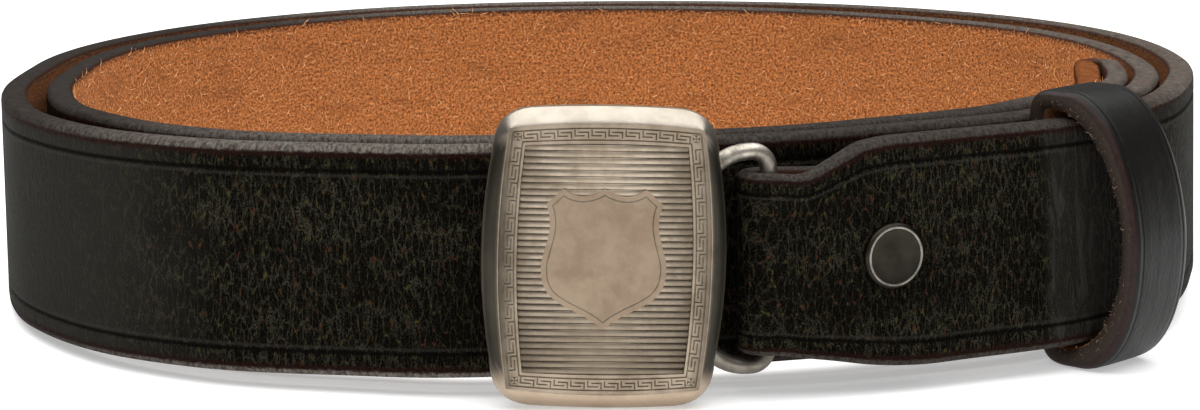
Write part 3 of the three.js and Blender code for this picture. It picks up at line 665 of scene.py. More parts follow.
strap = belt_mesh("belt_strap", strap_points, strap_faces, [black_leather, tan_flesh], strap_map)
# The tan flesh side shows from past the flap's end to just before the return of the tip
for polygon in strap.data.polygons:
    station, side = divmod(polygon.index, sides)
    on_back = min(abs(girths[side]), abs(girths[side + 1])) >= STRAP_WIDTH / 2 + EDGE_GIRTH + 0.3
    polygon.material_index = 1 if on_back and loop_start + 18 < station < turn_start - 12 else 0
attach(strap, "root")
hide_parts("strap")


# Keeper
# A band of smooth black leather round the strap, flat behind it and bowed out in front,
# where the belt's free end passes. Its joint is hidden behind the strap.
KEEPER_BEARING = -43.5
KEEPER_WIDTH = 12.5
KEEPER_LEATHER = 2.4
KEEPER_BACK_GAP = 0.92
KEEPER_LOW = -3.3
KEEPER_HIGH = 32.0
KEEPER_BULGE = 6.0
KEEPER_CORNER = 3.4
KEEPER_CREASE = 4.5


def drawn(*curves):
    """Points along Bezier curves, each given by its steps and then its corners."""
    points = []
    for steps, *corners in curves:
        degree = len(corners) - 1
        for step in range(steps):
            t = step / steps
            points.append(sum(
                math.comb(degree, place) * (1 - t) ** (degree - place) * t ** place * np.array(corner)
                for place, corner in enumerate(corners)))
    return points


def keeper_outline(inset):
    """The band in side view, at some depth in its leather: the way out, then the height."""
    back = inset - LEATHER - KEEPER_BACK_GAP - KEEPER_LEATHER
    low = KEEPER_LOW + inset
    high = KEEPER_HIGH - inset
    corner = KEEPER_CORNER - inset
    near = corner / 3
    front = CLEARANCE + KEEPER_LEATHER - inset
    bulge = front + KEEPER_BULGE
    middle = (low + high) / 2
    waist = front - 3.6
    third = (2 * (back + corner) + waist) / 3
    other = (back + corner + 2 * waist) / 3
    return drawn(
        (8, (back + corner, low), (third, low), (other, low), (waist, low)),
        (30, (waist, low), (front + 1.2, low), (bulge - 0.3, low + 6.5), (bulge, middle)),
        (30, (bulge, middle), (bulge - 0.3, high - 6.5), (front + 1.2, high), (waist, high)),
        (8, (waist, high), (other, high), (third, high), (back + corner, high)),
        (8, (back + corner, high), (back + near, high), (back, high - near), (back, high - corner)),
        (16, (back, high - corner), (back, middle + 6), (back, middle - 6), (back, low + corner)),
        (8, (back, low + corner), (back, low + near), (back + near, low), (back + corner, low)),
    )


# Section of the band: how far across the width, and how deep into the leather
KEEPER_SECTION = [
    (-0.5, 0.5), (-0.49, 0.28), (-0.46, 0.12), (-0.42, 0.03), (-0.36, 0), (-0.2, -0.015), (0, -0.02),
    (0.2, -0.015), (0.36, 0), (0.42, 0.03), (0.46, 0.12), (0.49, 0.28), (0.5, 0.5),
    (0.49, 0.75), (0.46, 0.92), (0.4, 1), (0, 1), (-0.4, 1), (-0.46, 0.92), (-0.49, 0.75),
]
SECTION_MIDDLE = 6
seat, out, along = seat_at(KEEPER_BEARING)
outer = keeper_outline(0)
inner = keeper_outline(KEEPER_LEATHER)
keeper_points = []
for part, deep in KEEPER_SECTION:
    for place, within in zip(outer, inner):
        depth, height = place + (within - place) * deep
        depth -= lean(KEEPER_BEARING) * (height / STRAP_WIDTH - 0.5)
        keeper_points.append((*(seat + out * depth + along * part * KEEPER_WIDTH), height))
around_count = len(outer)
band_lengths = distances(outer + outer[:1])
profile_girth = distances([
    (part * KEEPER_WIDTH, deep * KEEPER_LEATHER) for part, deep in KEEPER_SECTION + KEEPER_SECTION[:1]])
keeper_faces = ring_faces(ring_numbers(len(KEEPER_SECTION), around_count), around=True, turned=True)

keeper_leather, shader, grain, run, girth = grained_leather(
    "smooth_keeper_leather", 1.26, Hollow=(0.0026, 0.0022, 0.0017, 1),
    Ridge=(0.0075, 0.0065, 0.0052, 1), Depth=0.12, Specks=0.12)
off_middle = abs(run - profile_girth[SECTION_MIDDLE])
off_middle = off_middle.smaller(profile_girth[-1] - off_middle)
frayed = speckle(run, girth, 1.6, 1.1, 14)
edge_near = (off_middle + (frayed - 0.5) * 0.8).fade(KEEPER_WIDTH / 2 - 0.2, KEEPER_WIDTH / 2 + 0.3)
inside_near = off_middle.fade(KEEPER_WIDTH / 2 + 1.75, KEEPER_WIDTH / 2 + 2.4)
flecks = speckle(run, girth, 2.4, 2.4, 7, detail=4.0, rough=0.7)
edge_brown = paint((0.030, 0.021, 0.016, 1), (flecks.fade(0.60, 0.70), (0.18, 0.11, 0.065, 1)))
inside_tan = paint((0.12, 0.040, 0.014, 1), (flecks.fade(0.35, 0.65), (0.42, 0.20, 0.085, 1)))
# A creased line runs along both sides, and the corners outside it are worn ruddy
crease = off_middle.band(KEEPER_CREASE, 0.08, 0.42)
ruddy = off_middle.band(KEEPER_WIDTH / 2 - 0.35, 0.1, 0.6)
coloured = paint(
    grain.outputs["Colour"],
    (edge_near, edge_brown),
    (inside_near, inside_tan),
    ((ruddy * (frayed * 1.1)).clamped(), (0.034, 0.014, 0.011, 1)),
)
folds = speckle(run, girth, 0.42, 0.03, 12, detail=2.0, rough=0.5, distortion=0.4)
surface(shader, coloured, edge_near * 0.3 + grain.outputs["Roughness"] - 0.1,
        folds * 0.7 + grain.outputs["Height"] - crease * 1.2, 0.5, 0.0003)
keeper = belt_mesh("leather_keeper", keeper_points, keeper_faces, [keeper_leather],
                   ring_map(profile_girth, band_lengths, turned=True))
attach(keeper, "root")
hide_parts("keeper")


# Loose fibres
# The flesh side's nap stands up in short loose fibres, and the keeper's cut rim is frayed.
# Each fibre is a thin bent hair, strewn over those faces and laid nearly flat.
FIBRE_BEND = [(0.0, 0.0, 0.05), (0.45, 0.14, 0.045), (1.0, 0.06, 0.012)]
fibre_points = [
    (along, radius * math.cos(turn), up + radius * math.sin(turn))
    for along, up, radius in FIBRE_BEND for turn in (0, 2 * math.pi / 3, 4 * math.pi / 3)
]
fibre = add_mesh("one_fibre", fibre_points, ring_faces(ring_numbers(3, 3)) + [(2, 1, 0), (6, 7, 8)])


def add_tree(name, takes):
    """A geometry tree from the kinds of its inputs beside the mesh, and its two end nodes."""
    tree = bpy.data.node_groups.new(name, "GeometryNodeTree")
    for socket, kind in {"Geometry": "Geometry", **takes}.items():
        tree.interface.new_socket(socket, in_out="INPUT", socket_type="NodeSocket" + kind)
    tree.interface.new_socket("Geometry", in_out="OUTPUT", socket_type="NodeSocketGeometry")
    return tree, tree.nodes.new("NodeGroupInput").outputs, tree.nodes.new("NodeGroupOutput")


def instances(points, template, **placing):
    """A template object's shape on each point, turned and stretched as placing says."""
    shape = node(points.id_data, "GeometryNodeObjectInfo", {"Object": template})
    return node(points.id_data, "GeometryNodeInstanceOnPoints", {
        "Points": points, "Instance": shape.outputs["Geometry"], **placing}).outputs[0]


def realized(geometry):
    return node(geometry.id_data, "GeometryNodeRealizeInstances", {"Geometry": geometry}).outputs[0]


def give(result, geometry, material):
    """Ends a geometry tree with real geometry in its material."""
    finished = node(result.id_data, "GeometryNodeSetMaterial", {
        "Geometry": realized(geometry), "Material": material})
    feed(result, {0: finished.outputs[0]})


def grow(piece, tree, values, place):
    """Applies a geometry tree to a piece with named values, and puts its mesh in place."""
    modifier = piece.modifiers.new(tree.name, "NODES")
    modifier.node_group = tree
    for item in tree.interface.items_tree:
        if item.in_out == "INPUT" and item.name in values:
            modifier[item.identifier] = values[item.name]
    bpy.context.view_layer.update()
    evaluated = piece.evaluated_get(bpy.context.evaluated_depsgraph_get())
    grown = bpy.data.meshes.new_from_object(evaluated)
    piece.modifiers.remove(modifier)
    grown.transform(place)
    piece.data = grown


strewn_tree, given, result = add_tree("strewn_fibres", {
    "Fibre": "Object", "Density": "Float", "Shortest": "Float", "Longest": "Float",
    "Lift": "Float", "Seed": "Int", "Material": "Material"})
seed = given["Seed"]
spread = node(strewn_tree, "GeometryNodeDistributePointsOnFaces", {
    "Mesh": given["Geometry"], "Density": given["Density"], "Seed": seed})
lowest = vector(strewn_tree, Y=Number(given["Lift"]) * -1.0)
highest = vector(strewn_tree, Z=2 * math.pi)
turn = node(strewn_tree, "FunctionNodeRandomValue", {0: lowest, 1: highest, "Seed": seed},
            data_type="FLOAT_VECTOR")
length = node(strewn_tree, "FunctionNodeRandomValue", {
    2: given["Shortest"], 3: given["Longest"], "Seed": seed}, data_type="FLOAT")
twist = node(strewn_tree, "FunctionNodeEulerToRotation", {0: turn.outputs[0]})
facing = node(strewn_tree, "FunctionNodeRotateRotation", {
    "Rotation": spread.outputs["Rotation"], "Rotate By": twist.outputs[0]}, rotation_space="LOCAL")
give(result, instances(
    spread.outputs["Points"], given["Fibre"], Rotation=facing.outputs[0], Scale=length.outputs[1],
), given["Material"])


def strew(name, piece, wanted, **values):
    """Loose fibres on a copy of some of a piece's faces."""
    points = [tuple(vertex.co) for vertex in piece.data.vertices]
    faces = [tuple(polygon.vertices) for polygon in piece.data.polygons if wanted(polygon)]
    fibres = add_mesh(name, points, faces)
    grow(fibres, strewn_tree, {"Fibre": fibre, **values}, Matrix())
    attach(fibres, "root")
    return fibres


def fibre_material(name, dark, light):
    material, tree, shader = new_material(name, Roughness=0.85, Specular_IOR_Level=0.15)
    mixed = noise(object_place(tree), 2400.0, 2.0).fade(0.35, 0.65)
    feed(shader, {"Base Color": paint(dark, (mixed, light))})
    return material


def on_inner_turn(polygon):
    """Whether a face of the strap is on the tan side of its inner turn, clear of the floor."""
    station = polygon.index // sides
    tan_side = polygon.material_index == 1 and polygon.center.z > 0.002
    return tan_side and INNER_TURN + 20 < station < turn_start - 14


KEEPER_RIM_ROWS = (17, 18, 19)
flesh_fibres = strew(
    "flesh_fibres", strap, on_inner_turn, Density=0.5e6, Shortest=0.0006, Longest=0.0017, Lift=0.2, Seed=4,
    Material=fibre_material("nap_fibres", (0.34, 0.115, 0.033, 1), (0.95, 0.52, 0.24, 1)))
keeper_fray = strew(
    "keeper_fray", keeper, lambda polygon: polygon.index // around_count in KEEPER_RIM_ROWS,
    Density=2.2e6, Shortest=0.0002, Longest=0.00055, Lift=0.9, Seed=9,
    Material=fibre_material("frayed_fibres", (0.13, 0.060, 0.028, 1), (0.52, 0.36, 0.24, 1)))
bpy.data.objects.remove(fibre)


# Wire loop
# A loop of plated wire joins the strap's fold to the lugs behind the plate. It is worn
# down to bright metal, with painted shade darkening its lower arc.
HINGE = np.array([10.5, -81.6])
WIRE_LOW = 0
WIRE_HIGH = 28.5
WIRE_FOLD_CORNER = 2.2
WIRE_HINGE_CORNER = 6.6
WIRE_SIDES = 20
WIRE_STEPS = 12

metal_group, given, result = new_group(
    "worn_silver_metal",
    {"Clean": (0.62, 0.55, 0.46, 1), "Tarnish": (0.30, 0.24, 0.17, 1), "Amount": 0.5},
    ["Colour", "Roughness", "Height"],
)
place = object_place(metal_group)
cloudy = noise(place, 190.0, 5.0)
blotch = noise(place, 620.0, 4.0, 0.65)
rubbed = noise(place, 3800.0, 2.0)
stain = (cloudy * 0.6 + blotch * 0.4).fade(0.38, 0.64) * given["Amount"]
feed(result, {
    "Colour": paint(given["Clean"], (stain, given["Tarnish"])),
    "Roughness": stain * 0.16 + rubbed * 0.12 + 0.3,
    "Height": rubbed + blotch,
})


def metal(name, clean, tarnish, amount, coats=None):
    """Worn metal. A function gives the coats laid over its colour, where it has any."""
    material, tree, shader = new_material(name, Metallic=1.0)
    worn = node(tree, "ShaderNodeGroup", {"Clean": clean, "Tarnish": tarnish, "Amount": amount},
                node_tree=metal_group)
    colour = worn.outputs["Colour"]
    if coats:
        colour = paint(colour, *coats(tree))
    surface(shader, colour, worn.outputs["Roughness"], worn.outputs["Height"], 0.12, 0.0001)
    return material


def painted_shade_below(low, high, amount, colour):
    """A coat of painted shade that deepens downwards between two heights, for the function metal."""
    return lambda tree: [((1 - apart(object_place(tree))[2].fade(low, high)) * amount, colour)]


wire_length = math.dist(HINGE, wire_bar)
forth = np.array([*((HINGE - wire_bar) / wire_length), 0])
aside = np.array([-forth[1], forth[0], 0])
low = WIRE_LOW + WIRE_RADIUS
high = WIRE_HIGH - WIRE_RADIUS
hinge_at = wire_length - WIRE_HINGE_CORNER
# Middles of the four corners, along and up, with the turn where each begins and its radius
wire_corners = [
    (hinge_at, high - WIRE_HINGE_CORNER, 0, WIRE_HINGE_CORNER),
    (WIRE_FOLD_CORNER, high - WIRE_FOLD_CORNER, 90, WIRE_FOLD_CORNER),
    (WIRE_FOLD_CORNER, low + WIRE_FOLD_CORNER, 180, WIRE_FOLD_CORNER),
    (hinge_at, low + WIRE_HINGE_CORNER, 270, WIRE_HINGE_CORNER),
]
wire_points = []
for along, height, turn, radius in wire_corners:
    for step in range(WIRE_STEPS + 1):
        angle = math.radians(turn + 90 * step / WIRE_STEPS)
        out = forth * math.cos(angle) + np.array([0, 0, math.sin(angle)])
        centre = np.array([*wire_bar, height]) + forth * along + out * radius
        for side in range(WIRE_SIDES):
            turned = 2 * math.pi * side / WIRE_SIDES
            wire_points.append(centre + WIRE_RADIUS * (out * math.cos(turned) + aside * math.sin(turned)))
wire_faces = ring_faces(ring_numbers(len(wire_points) // WIRE_SIDES, WIRE_SIDES), around=True)
wire_metal = metal("worn_wire", (0.50, 0.45, 0.39, 1), (0.13, 0.12, 0.095, 1), 1.0,
                   painted_shade_below(0.003, 0.012, 0.7, (0.11, 0.10, 0.08, 1)))
wire = belt_mesh("wire_hinge_loop", wire_points, wire_faces, [wire_metal])
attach(wire, "root")
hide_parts("wire_loop")


# Rivet
# A rivet with a broad bevelled cap closes the strap's fold. The cap is dull with a rim
# rubbed bright, and a smaller plain cap closes the post behind the flap.
RIVET_BEARING = -66.1
RIVET_HEIGHT = 14.3
RIVET_GAP = 0.4
RIVET_SIDES = 64
# The outlines of the back cap with the post, and of the front cap: radius, and how far out
BACK_CAP = [(0, -0.7), (2.6, -0.7), (3.05, -0.5), (3.2, -0.2), (3.2, 0), (1.4, 0)]
FRONT_CAP = [
    (1.4, 0), (4.0, 0), (4.1, 0.12), (4.1, 0.4), (4.0, 0.62), (3.7, 0.86), (3.55, 0.9),
    (3.42, 0.84), (3.3, 0.8), (2.0, 0.83), (0, 0.84),
]
behind = -(column(FLAP, "inset", RIVET_BEARING) + FLAP_THICKNESS + RIVET_GAP)
rivet_outline = [(radius, behind + stand) for radius, stand in BACK_CAP]
rivet_outline += [(radius, RIVET_GAP + stand) for radius, stand in FRONT_CAP]
RIVET_RIM_ROWS = (11, 12)
seat, out, along = seat_at(RIVET_BEARING)
rivet_points = []
rivet_rows = []
for radius, stand in rivet_outline:
    row = []
    for side in range(RIVET_SIDES if radius else 1):
        turned = 2 * math.pi * side / RIVET_SIDES
        plan = seat + out * stand + along * radius * math.cos(turned)
        row.append(len(rivet_points))
        rivet_points.append((*plan, RIVET_HEIGHT + radius * math.sin(turned)))
    rivet_rows.append(row if radius else row * RIVET_SIDES)
rivet = belt_mesh("strap_rivet", rivet_points, ring_faces(rivet_rows), [
    metal("dull_rivet", (0.030, 0.027, 0.021, 1), (0.020, 0.018, 0.014, 1), 0.8),
    metal("rubbed_rim", (0.30, 0.28, 0.24, 1), (0.10, 0.09, 0.075, 1), 0.9),
])
for polygon in rivet.data.polygons:
    polygon.material_index = 1 if polygon.index // RIVET_SIDES in RIVET_RIM_ROWS else 0
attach(rivet, "root")
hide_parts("rivet")


# Buckle plate
# A barrel-shaped plate pressed from silver-coloured metal, with a rounded bevel turned
# back all round. Its side bevels are darkened with painted shade, its lower bevel carries a
# painted reflection of the floor, and its face is a tarnished ground.
PLATE_WIDTH = 29.3
PLATE_HEIGHT = 36.4
PLATE_WALL = 1.2
PLATE_RIM_CORNER = 5.8
PLATE_FACE_CORNER = 0.7
PLATE_BEVEL = 1.95
PLATE_SIDE_BOW = 1.1
PLATE_RIM_END_BOW = 0.2
PLATE_FACE_END_BOW = 0.65
PLATE_PLACE = (
    Matrix.Translation((-0.45, -87.2, 15.7))
    @ Matrix.Rotation(math.radians(3), 4, "Z")
    @ Matrix.Rotation(math.radians(-2.5), 4, "X")
    @ Matrix.Rotation(math.radians(1.6), 4, "Y")
)
# How far the border, the ribs and the shield stand above the plate's ground
RELIEF = 0.2


def plate_ring(inset, depth):
    """The plate's outline, bowed more at its ends and squarer the further in it is."""
    half_width = PLATE_WIDTH / 2 - inset
    half_height = PLATE_HEIGHT / 2 - inset
    rounding = min(1, inset / PLATE_BEVEL)
    corner = PLATE_RIM_CORNER + (PLATE_FACE_CORNER - PLATE_RIM_CORNER) * rounding
    end_bow = PLATE_RIM_END_BOW + (PLATE_FACE_END_BOW - PLATE_RIM_END_BOW) * rounding
    x = half_width - PLATE_SIDE_BOW
    z = half_height - end_bow
    half = drawn(
        (24, (x, corner - z), (half_width + PLATE_SIDE_BOW, 0), (x, z - corner)),
        (10, (x, z - corner), (x, z), (x - corner, z)),
        (24, (x - corner, z), (0, half_height + end_bow), (corner - x, z)),
        (10, (corner - x, z), (-x, z), (-x, z - corner)),
    )
    return [(point[0], depth, point[1]) for point in half + [-point for point in half]]


def shade(piece, name, values):
    """A number on each of a piece's points, for its material."""
    piece.data.attributes.new(name, "FLOAT", "POINT").data.foreach_set("value", values)


def bevel_shade_and_reflection(tree):
    """Painted shade on the side bevels, a painted reflection of the floor on the lower one, and painted shade
    that dims the upper one's highlight.
    """
    side, low, top = (
        Number(node(tree, "ShaderNodeAttribute", attribute_name=name).outputs["Fac"])
        for name in ("side_shade", "low_bevel_reflection", "top_bevel_shade"))
    return [
        (side * 0.95, (0.032, 0.030, 0.023, 1)),
        (low * 0.7, (0.54, 0.42, 0.31, 1)),
        (top * 0.7, (0.36, 0.335, 0.295, 1)),
    ]


# Rings of the plate from behind, round the rim, up its short wall and over the bevel:
# inset and depth. The last three are its ground.
PLATE_RINGS = [
    (2.5, PLATE_WALL), (2.3, PLATE_WALL), (1.15, 3.55), (1.05, 3.66), (0.2, 3.7), (0.05, 3.64), (0, 3.5),
    (0, 2.7), (0.02, 2.12), (0.05, 2.03), (0.11, 1.93), (0.38, 1.52), (0.74, 1.02), (1.14, 0.54), (1.5, 0.22),
    (1.78, 0.05), (1.92, 0.0), (2.0, 0.04), (2.06, RELIEF), (2.3, RELIEF),
]
plate_rows = [plate_ring(inset, depth) for inset, depth in PLATE_RINGS]
plate_points, plate_faces = shell(plate_rows)
silver = metal("nickel_silver", (0.42, 0.345, 0.265, 1), (0.25, 0.19, 0.13, 1), 0.7, bevel_shade_and_reflection)
dark_ground = metal("tarnished_ground", (0.20, 0.165, 0.12, 1), (0.10, 0.08, 0.055, 1), 0.8)
plate = belt_mesh("engraved_plate", [PLATE_PLACE @ Vector(point) for point in plate_points],
                  plate_faces, [silver, dark_ground])
on_ring = len(plate_rows[0])
for polygon in plate.data.polygons:
    polygon.material_index = 1 if polygon.index // on_ring >= len(PLATE_RINGS) - 3 else 0
# Amounts of painted shade and reflection on the bevels: the sides, the lower end and the upper end
BEVEL_END = 13.4
bevels = []
for index, (x, depth, z) in enumerate(plate_points):
    inset = PLATE_RINGS[index // on_ring][0]
    down = np.clip((PLATE_BEVEL - inset) / 0.2, 0, 1) * np.clip(inset / 0.15, 0.2, 1)
    at_end = np.clip((abs(z) - BEVEL_END) / 2.6, 0, 1)
    bevels.append((down * (1 - at_end), down * at_end * (z < 0), down * at_end * (z > 0)))
for name, values in zip(("side_shade", "low_bevel_reflection", "top_bevel_shade"), zip(*bevels)):
    shade(plate, name, values)
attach(plate, "root")
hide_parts("buckle_plate")


# Lugs and clamp
# Two lugs behind the plate hold the wire loop, and the clamp is a plain frame round the
# strap. They are solids in the belt's frame, in one piece.
LUG_SPREAD = 4.2
LUG_HALF = 1.5
LUG_RADIUS = 2.3
LUG_STEPS = 24
LUG_FEET = [(HINGE[0] - LUG_RADIUS, -86.1), (HINGE[0] + LUG_RADIUS, -85.75)]
HINGE_HEIGHT = (WIRE_LOW + WIRE_HIGH) / 2
fitting_points = []
fitting_faces = []


def lug_points(height):
    """A lug's outline in plan: round behind the wire, straight to the plate."""
    rim = [HINGE + plan_point(180 * step / LUG_STEPS, LUG_RADIUS) for step in range(LUG_STEPS + 1)]
    return [(x, y, height) for x, y in rim + LUG_FEET]


def add_solid(points, faces):
    start = len(fitting_points)
    fitting_points.extend(points)
    fitting_faces.extend(tuple(start + corner for corner in face) for face in faces)


for side in (-1, 1):
    middle = HINGE_HEIGHT + side * LUG_SPREAD
    points, faces = shell([lug_points(middle + LUG_HALF), lug_points(middle - LUG_HALF)])
    add_solid(points, [tuple(reversed(face)) for face in faces])

CLAMP_BAR = Vector((-7.5, -75.95, STRAP_WIDTH / 2))
CLAMP_THICKNESS = 1.2
CLAMP_WIDTH = 5
clamp_turn = Matrix.Translation(CLAMP_BAR) @ Matrix.Rotation(math.radians(11), 4, "Z")
slot_half = STRAP_WIDTH / 2 + CLEARANCE
clamp_half = slot_half + CLAMP_THICKNESS
# The clamp's side outline: how far towards the plate, and the height from the strap's middle
CLAMP_OUTLINE = [
    (0.6, -clamp_half), (0.6, clamp_half), (-9.7, clamp_half), (-9.7, slot_half),
    (-0.6, slot_half), (-0.6, -slot_half), (-10.9, -slot_half), (-10.9, -clamp_half),
]
add_solid(*shell([
    [clamp_turn @ Vector((across, towards, height)) for towards, height in CLAMP_OUTLINE]
    for across in (-CLAMP_WIDTH / 2, CLAMP_WIDTH / 2)
]))
fittings = belt_mesh("plate_fittings", fitting_points, fitting_faces, [
    metal("dull_fittings", (0.34, 0.31, 0.26, 1), (0.13, 0.11, 0.08, 1), 0.8)])
for polygon in fittings.data.polygons:
    polygon.use_smooth = False
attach(fittings, "root")


# Engraved border
# The plate's face is one polished sheet with lines cut into it: a border line outside and
# inside a Greek key, the key's hooked cuts, and a four-petalled rosette in each corner.
LINE = 0.17
BAND = {"side": 12.6, "side_bow": 1.07, "end": 16.2, "end_bow": 0.6}
OUTER_LINE = {"side": 12.1, "side_bow": 1.0, "end": 15.72, "end_bow": 0.55}
INNER_LINE = {"side": 10.85, "side_bow": 0.87, "end": 14.33, "end_bow": 0.33}
FIELD = {"side": 10.5, "side_bow": 0.83, "end": 13.87, "end_bow": 0.25}
KEY_PITCH = 2.04
KEY_HEIGHT = 1.3
ROSETTE = {"x": 10.54, "z": 14.585, "near": 0.03, "far": 0.58, "half": 0.15, "cell": 0.44}
PETAL = ((0, 0), (0.3, 0.8), (0.6, 1), (0.85, 0.6), (1, 0), (0.85, -0.6), (0.6, -1), (0.3, -0.8))

# Flat work is drawn in X and Y, with Z standing out of the plate's face or its ground
on_face = (
    Matrix.Scale(MILLIMETRE, 4) @ resting @ PLATE_PLACE
    @ Matrix(((1, 0, 0, 0), (0, 0, -1, 0), (0, 1, 0, 0), (0, 0, 0, 1)))
)
on_ground = on_face @ Matrix.Translation((0, 0, -RELIEF))


def barrel(line, inset=0.0):
    """A barrel-shaped line on the plate's face, with bowed sides."""
    side_bow = line["side_bow"]
    end_bow = line["end_bow"]
    x = line["side"] - side_bow - inset
    z = line["end"] - end_bow - inset
    half = drawn((40, (x, -z), (x + 2 * side_bow, 0), (x, z)), (40, (x, z), (0, z + 2 * end_bow), (-x, z)))
    return half + [-point for point in half]


def flat_curves(name, outlines):
    """Closed flat outlines as one curve object."""
    data = bpy.data.curves.new(name, "CURVE")
    data.dimensions = "2D"
    data.fill_mode = "NONE"
    for outline in outlines:
        spline = data.splines.new("POLY")
        spline.points.add(len(outline) - 1)
        for point, (x, y) in zip(spline.points, outline):
            point.co = (x, y, 0, 1)
        spline.use_cyclic_u = True
    return add_object(name, data)


def spun(along, aside, turn, x=0, y=0):
    """A flat place turned about the middle, then shifted."""
    return (along * math.cos(turn) - aside * math.sin(turn) + x,
            along * math.sin(turn) + aside * math.cos(turn) + y)


def petal(turn, x, z):
    """One pointed petal of the rosette at a place, as a flat outline."""
    near, far, half = ROSETTE["near"], ROSETTE["far"], ROSETTE["half"]
    return [spun(near + (far - near) * part, half * wide, turn, x, z) for part, wide in PETAL]


lines = [barrel(BAND)]
for line in (OUTER_LINE, INNER_LINE):
    lines += [barrel(line, -LINE / 2), barrel(line, LINE / 2)]
lines.append(barrel(FIELD))
cell = ROSETTE["cell"]
for x in (-ROSETTE["x"], ROSETTE["x"]):
    for z in (-ROSETTE["z"], ROSETTE["z"]):
        lines.append([(x - cell, z - cell), (x + cell, z - cell), (x + cell, z + cell), (x - cell, z + cell)])
        lines += [petal(math.radians(45 + 90 * turn), x, z) for turn in range(4)]
border_lines = flat_curves("border_lines", lines)


def hook(stem_at, stem_end, bar_at, tip, way):
    """One hooked cut of a key, for a pitch of 1 and a height of 1, a stem and then a bar."""
    stem = way * LINE / KEY_PITCH / 2
    bar = way * LINE / KEY_HEIGHT / 2
    return [
        (stem_at - stem, stem_end), (stem_at + stem, stem_end), (stem_at + stem, bar_at + bar),
        (tip, bar_at + bar), (tip, bar_at - bar), (stem_at - stem, bar_at - bar),
    ]


key_cuts = flat_curves("key_cuts", [hook(0, -0.11, -0.667, 0.574, 1), hook(0.787, -0.89, -0.348, 0.17, -1)])


def marks(name, rows):
    """Points with a place, a turn about the face's normal and a stretch, for instances."""
    places, turns, stretches = zip(*rows)
    made = add_mesh(name, places)
    for attribute, vectors in (("turn", turns), ("stretch", stretches)):
        values = made.data.attributes.new(attribute, "FLOAT_VECTOR", "POINT")
        values.data.foreach_set("vector", np.ravel(vectors))
    return made


# Runs of keys along the ends and along the sides, each a bowed line of so many pitches
END_KEYS = {"keys": 10, "pitch": 2.02, "half": 11.1, "reach": 15.72, "bow": 0.55}
SIDE_KEYS = {"keys": 13, "pitch": 2.09, "half": 15.17, "reach": 12.1, "bow": 1.0}
key_rows = []
for turn, keys in ((0, END_KEYS), (-90, SIDE_KEYS), (180, END_KEYS), (90, SIDE_KEYS)):
    turned = math.radians(turn)
    for key in range(keys["keys"]):
        start = (key - keys["keys"] / 2 + 0.1) * keys["pitch"]
        bowed = keys["reach"] - keys["bow"] * (start / keys["half"]) ** 2
        middle = start + keys["pitch"] / 2
        slope = math.atan(-2 * keys["bow"] * middle / keys["half"] ** 2)
        place = (*spun(start, bowed, turned), 0)
        key_rows.append((place, (0, 0, turned + slope), (keys["pitch"], KEY_HEIGHT, 1)))
border = marks("border_sheet", key_rows)


def joined(*parts):
    """Several meshes or curves as one."""
    made = node(parts[0].id_data, "GeometryNodeJoinGeometry")
    for part in parts:
        feed(made, {0: part})
    return made.outputs[0]


sheet_tree, given, result = add_tree("cut_sheet", {
    "Lines": "Object", "Cut": "Object", "Thickness": "Float", "Material": "Material"})
turn, stretch = (
    node(sheet_tree, "GeometryNodeInputNamedAttribute", {"Name": name}, data_type="FLOAT_VECTOR").outputs[0]
    for name in ("turn", "stretch"))
rotation = node(sheet_tree, "FunctionNodeEulerToRotation", {0: turn})
cuts = realized(instances(given["Geometry"], given["Cut"], Rotation=rotation.outputs[0], Scale=stretch))
outlines = node(sheet_tree, "GeometryNodeObjectInfo", {"Object": given["Lines"]}).outputs["Geometry"]
filled = node(sheet_tree, "GeometryNodeFillCurve", {"Curve": joined(cuts, outlines)}).outputs[0]
raised = node(sheet_tree, "GeometryNodeExtrudeMesh", {
    "Mesh": filled, "Offset Scale": given["Thickness"], "Individual": False}).outputs[0]
underside = node(sheet_tree, "GeometryNodeFlipFaces", {"Mesh": filled}).outputs[0]
merged = node(sheet_tree, "GeometryNodeMergeByDistance", {
    "Geometry": joined(raised, underside), "Distance": 0.0005})
give(result, merged.outputs[0], given["Material"])
grow(border, sheet_tree, {
    "Lines": border_lines, "Cut": key_cuts, "Thickness": RELIEF, "Material": silver}, on_ground)
for template in (border_lines, key_cuts):
    bpy.data.objects.remove(template)
# Painted shade darkens the sheet towards its sides, and more at the left
MARGIN = 9.9
back_to_face = on_face.inverted()
margins = []
for vertex in border.data.vertices:
    x = (back_to_face @ vertex.co).x
    margins.append(np.clip((abs(x) - MARGIN) / 2.4, 0, 1) * (0.85 if x < 0 else 0.6))
shade(border, "side_shade", margins)
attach(border, "root")


# Ribbed field
# Inside the border the sheet is rolled into close level ribs with rounded tops, which
# fit the bowed sides of the field.
RIB_PITCH = 0.765
RIB_COUNT = 36
RIB_HALF = 0.38
RIB_FOOT = 0.09
RIB_TOP = RELIEF - 0.01

# One rib, one millimetre to each side, from its foot over its rounded top
rib_profile = [(math.cos(turn), math.sin(turn)) for turn in (math.pi * step / 6 for step in range(7))]
rib = add_mesh(
    "one_rib",
    [(side, RIB_HALF * across, RIB_FOOT + (RIB_TOP - RIB_FOOT) * up)
     for side in (-1, 1) for across, up in rib_profile],
    [(step, step + 1, step + 8, step + 7) for step in range(6)]
    + [(7, 13, 6, 0), tuple(range(6, -1, -1)), tuple(range(7, 14))],
)
soften(rib)

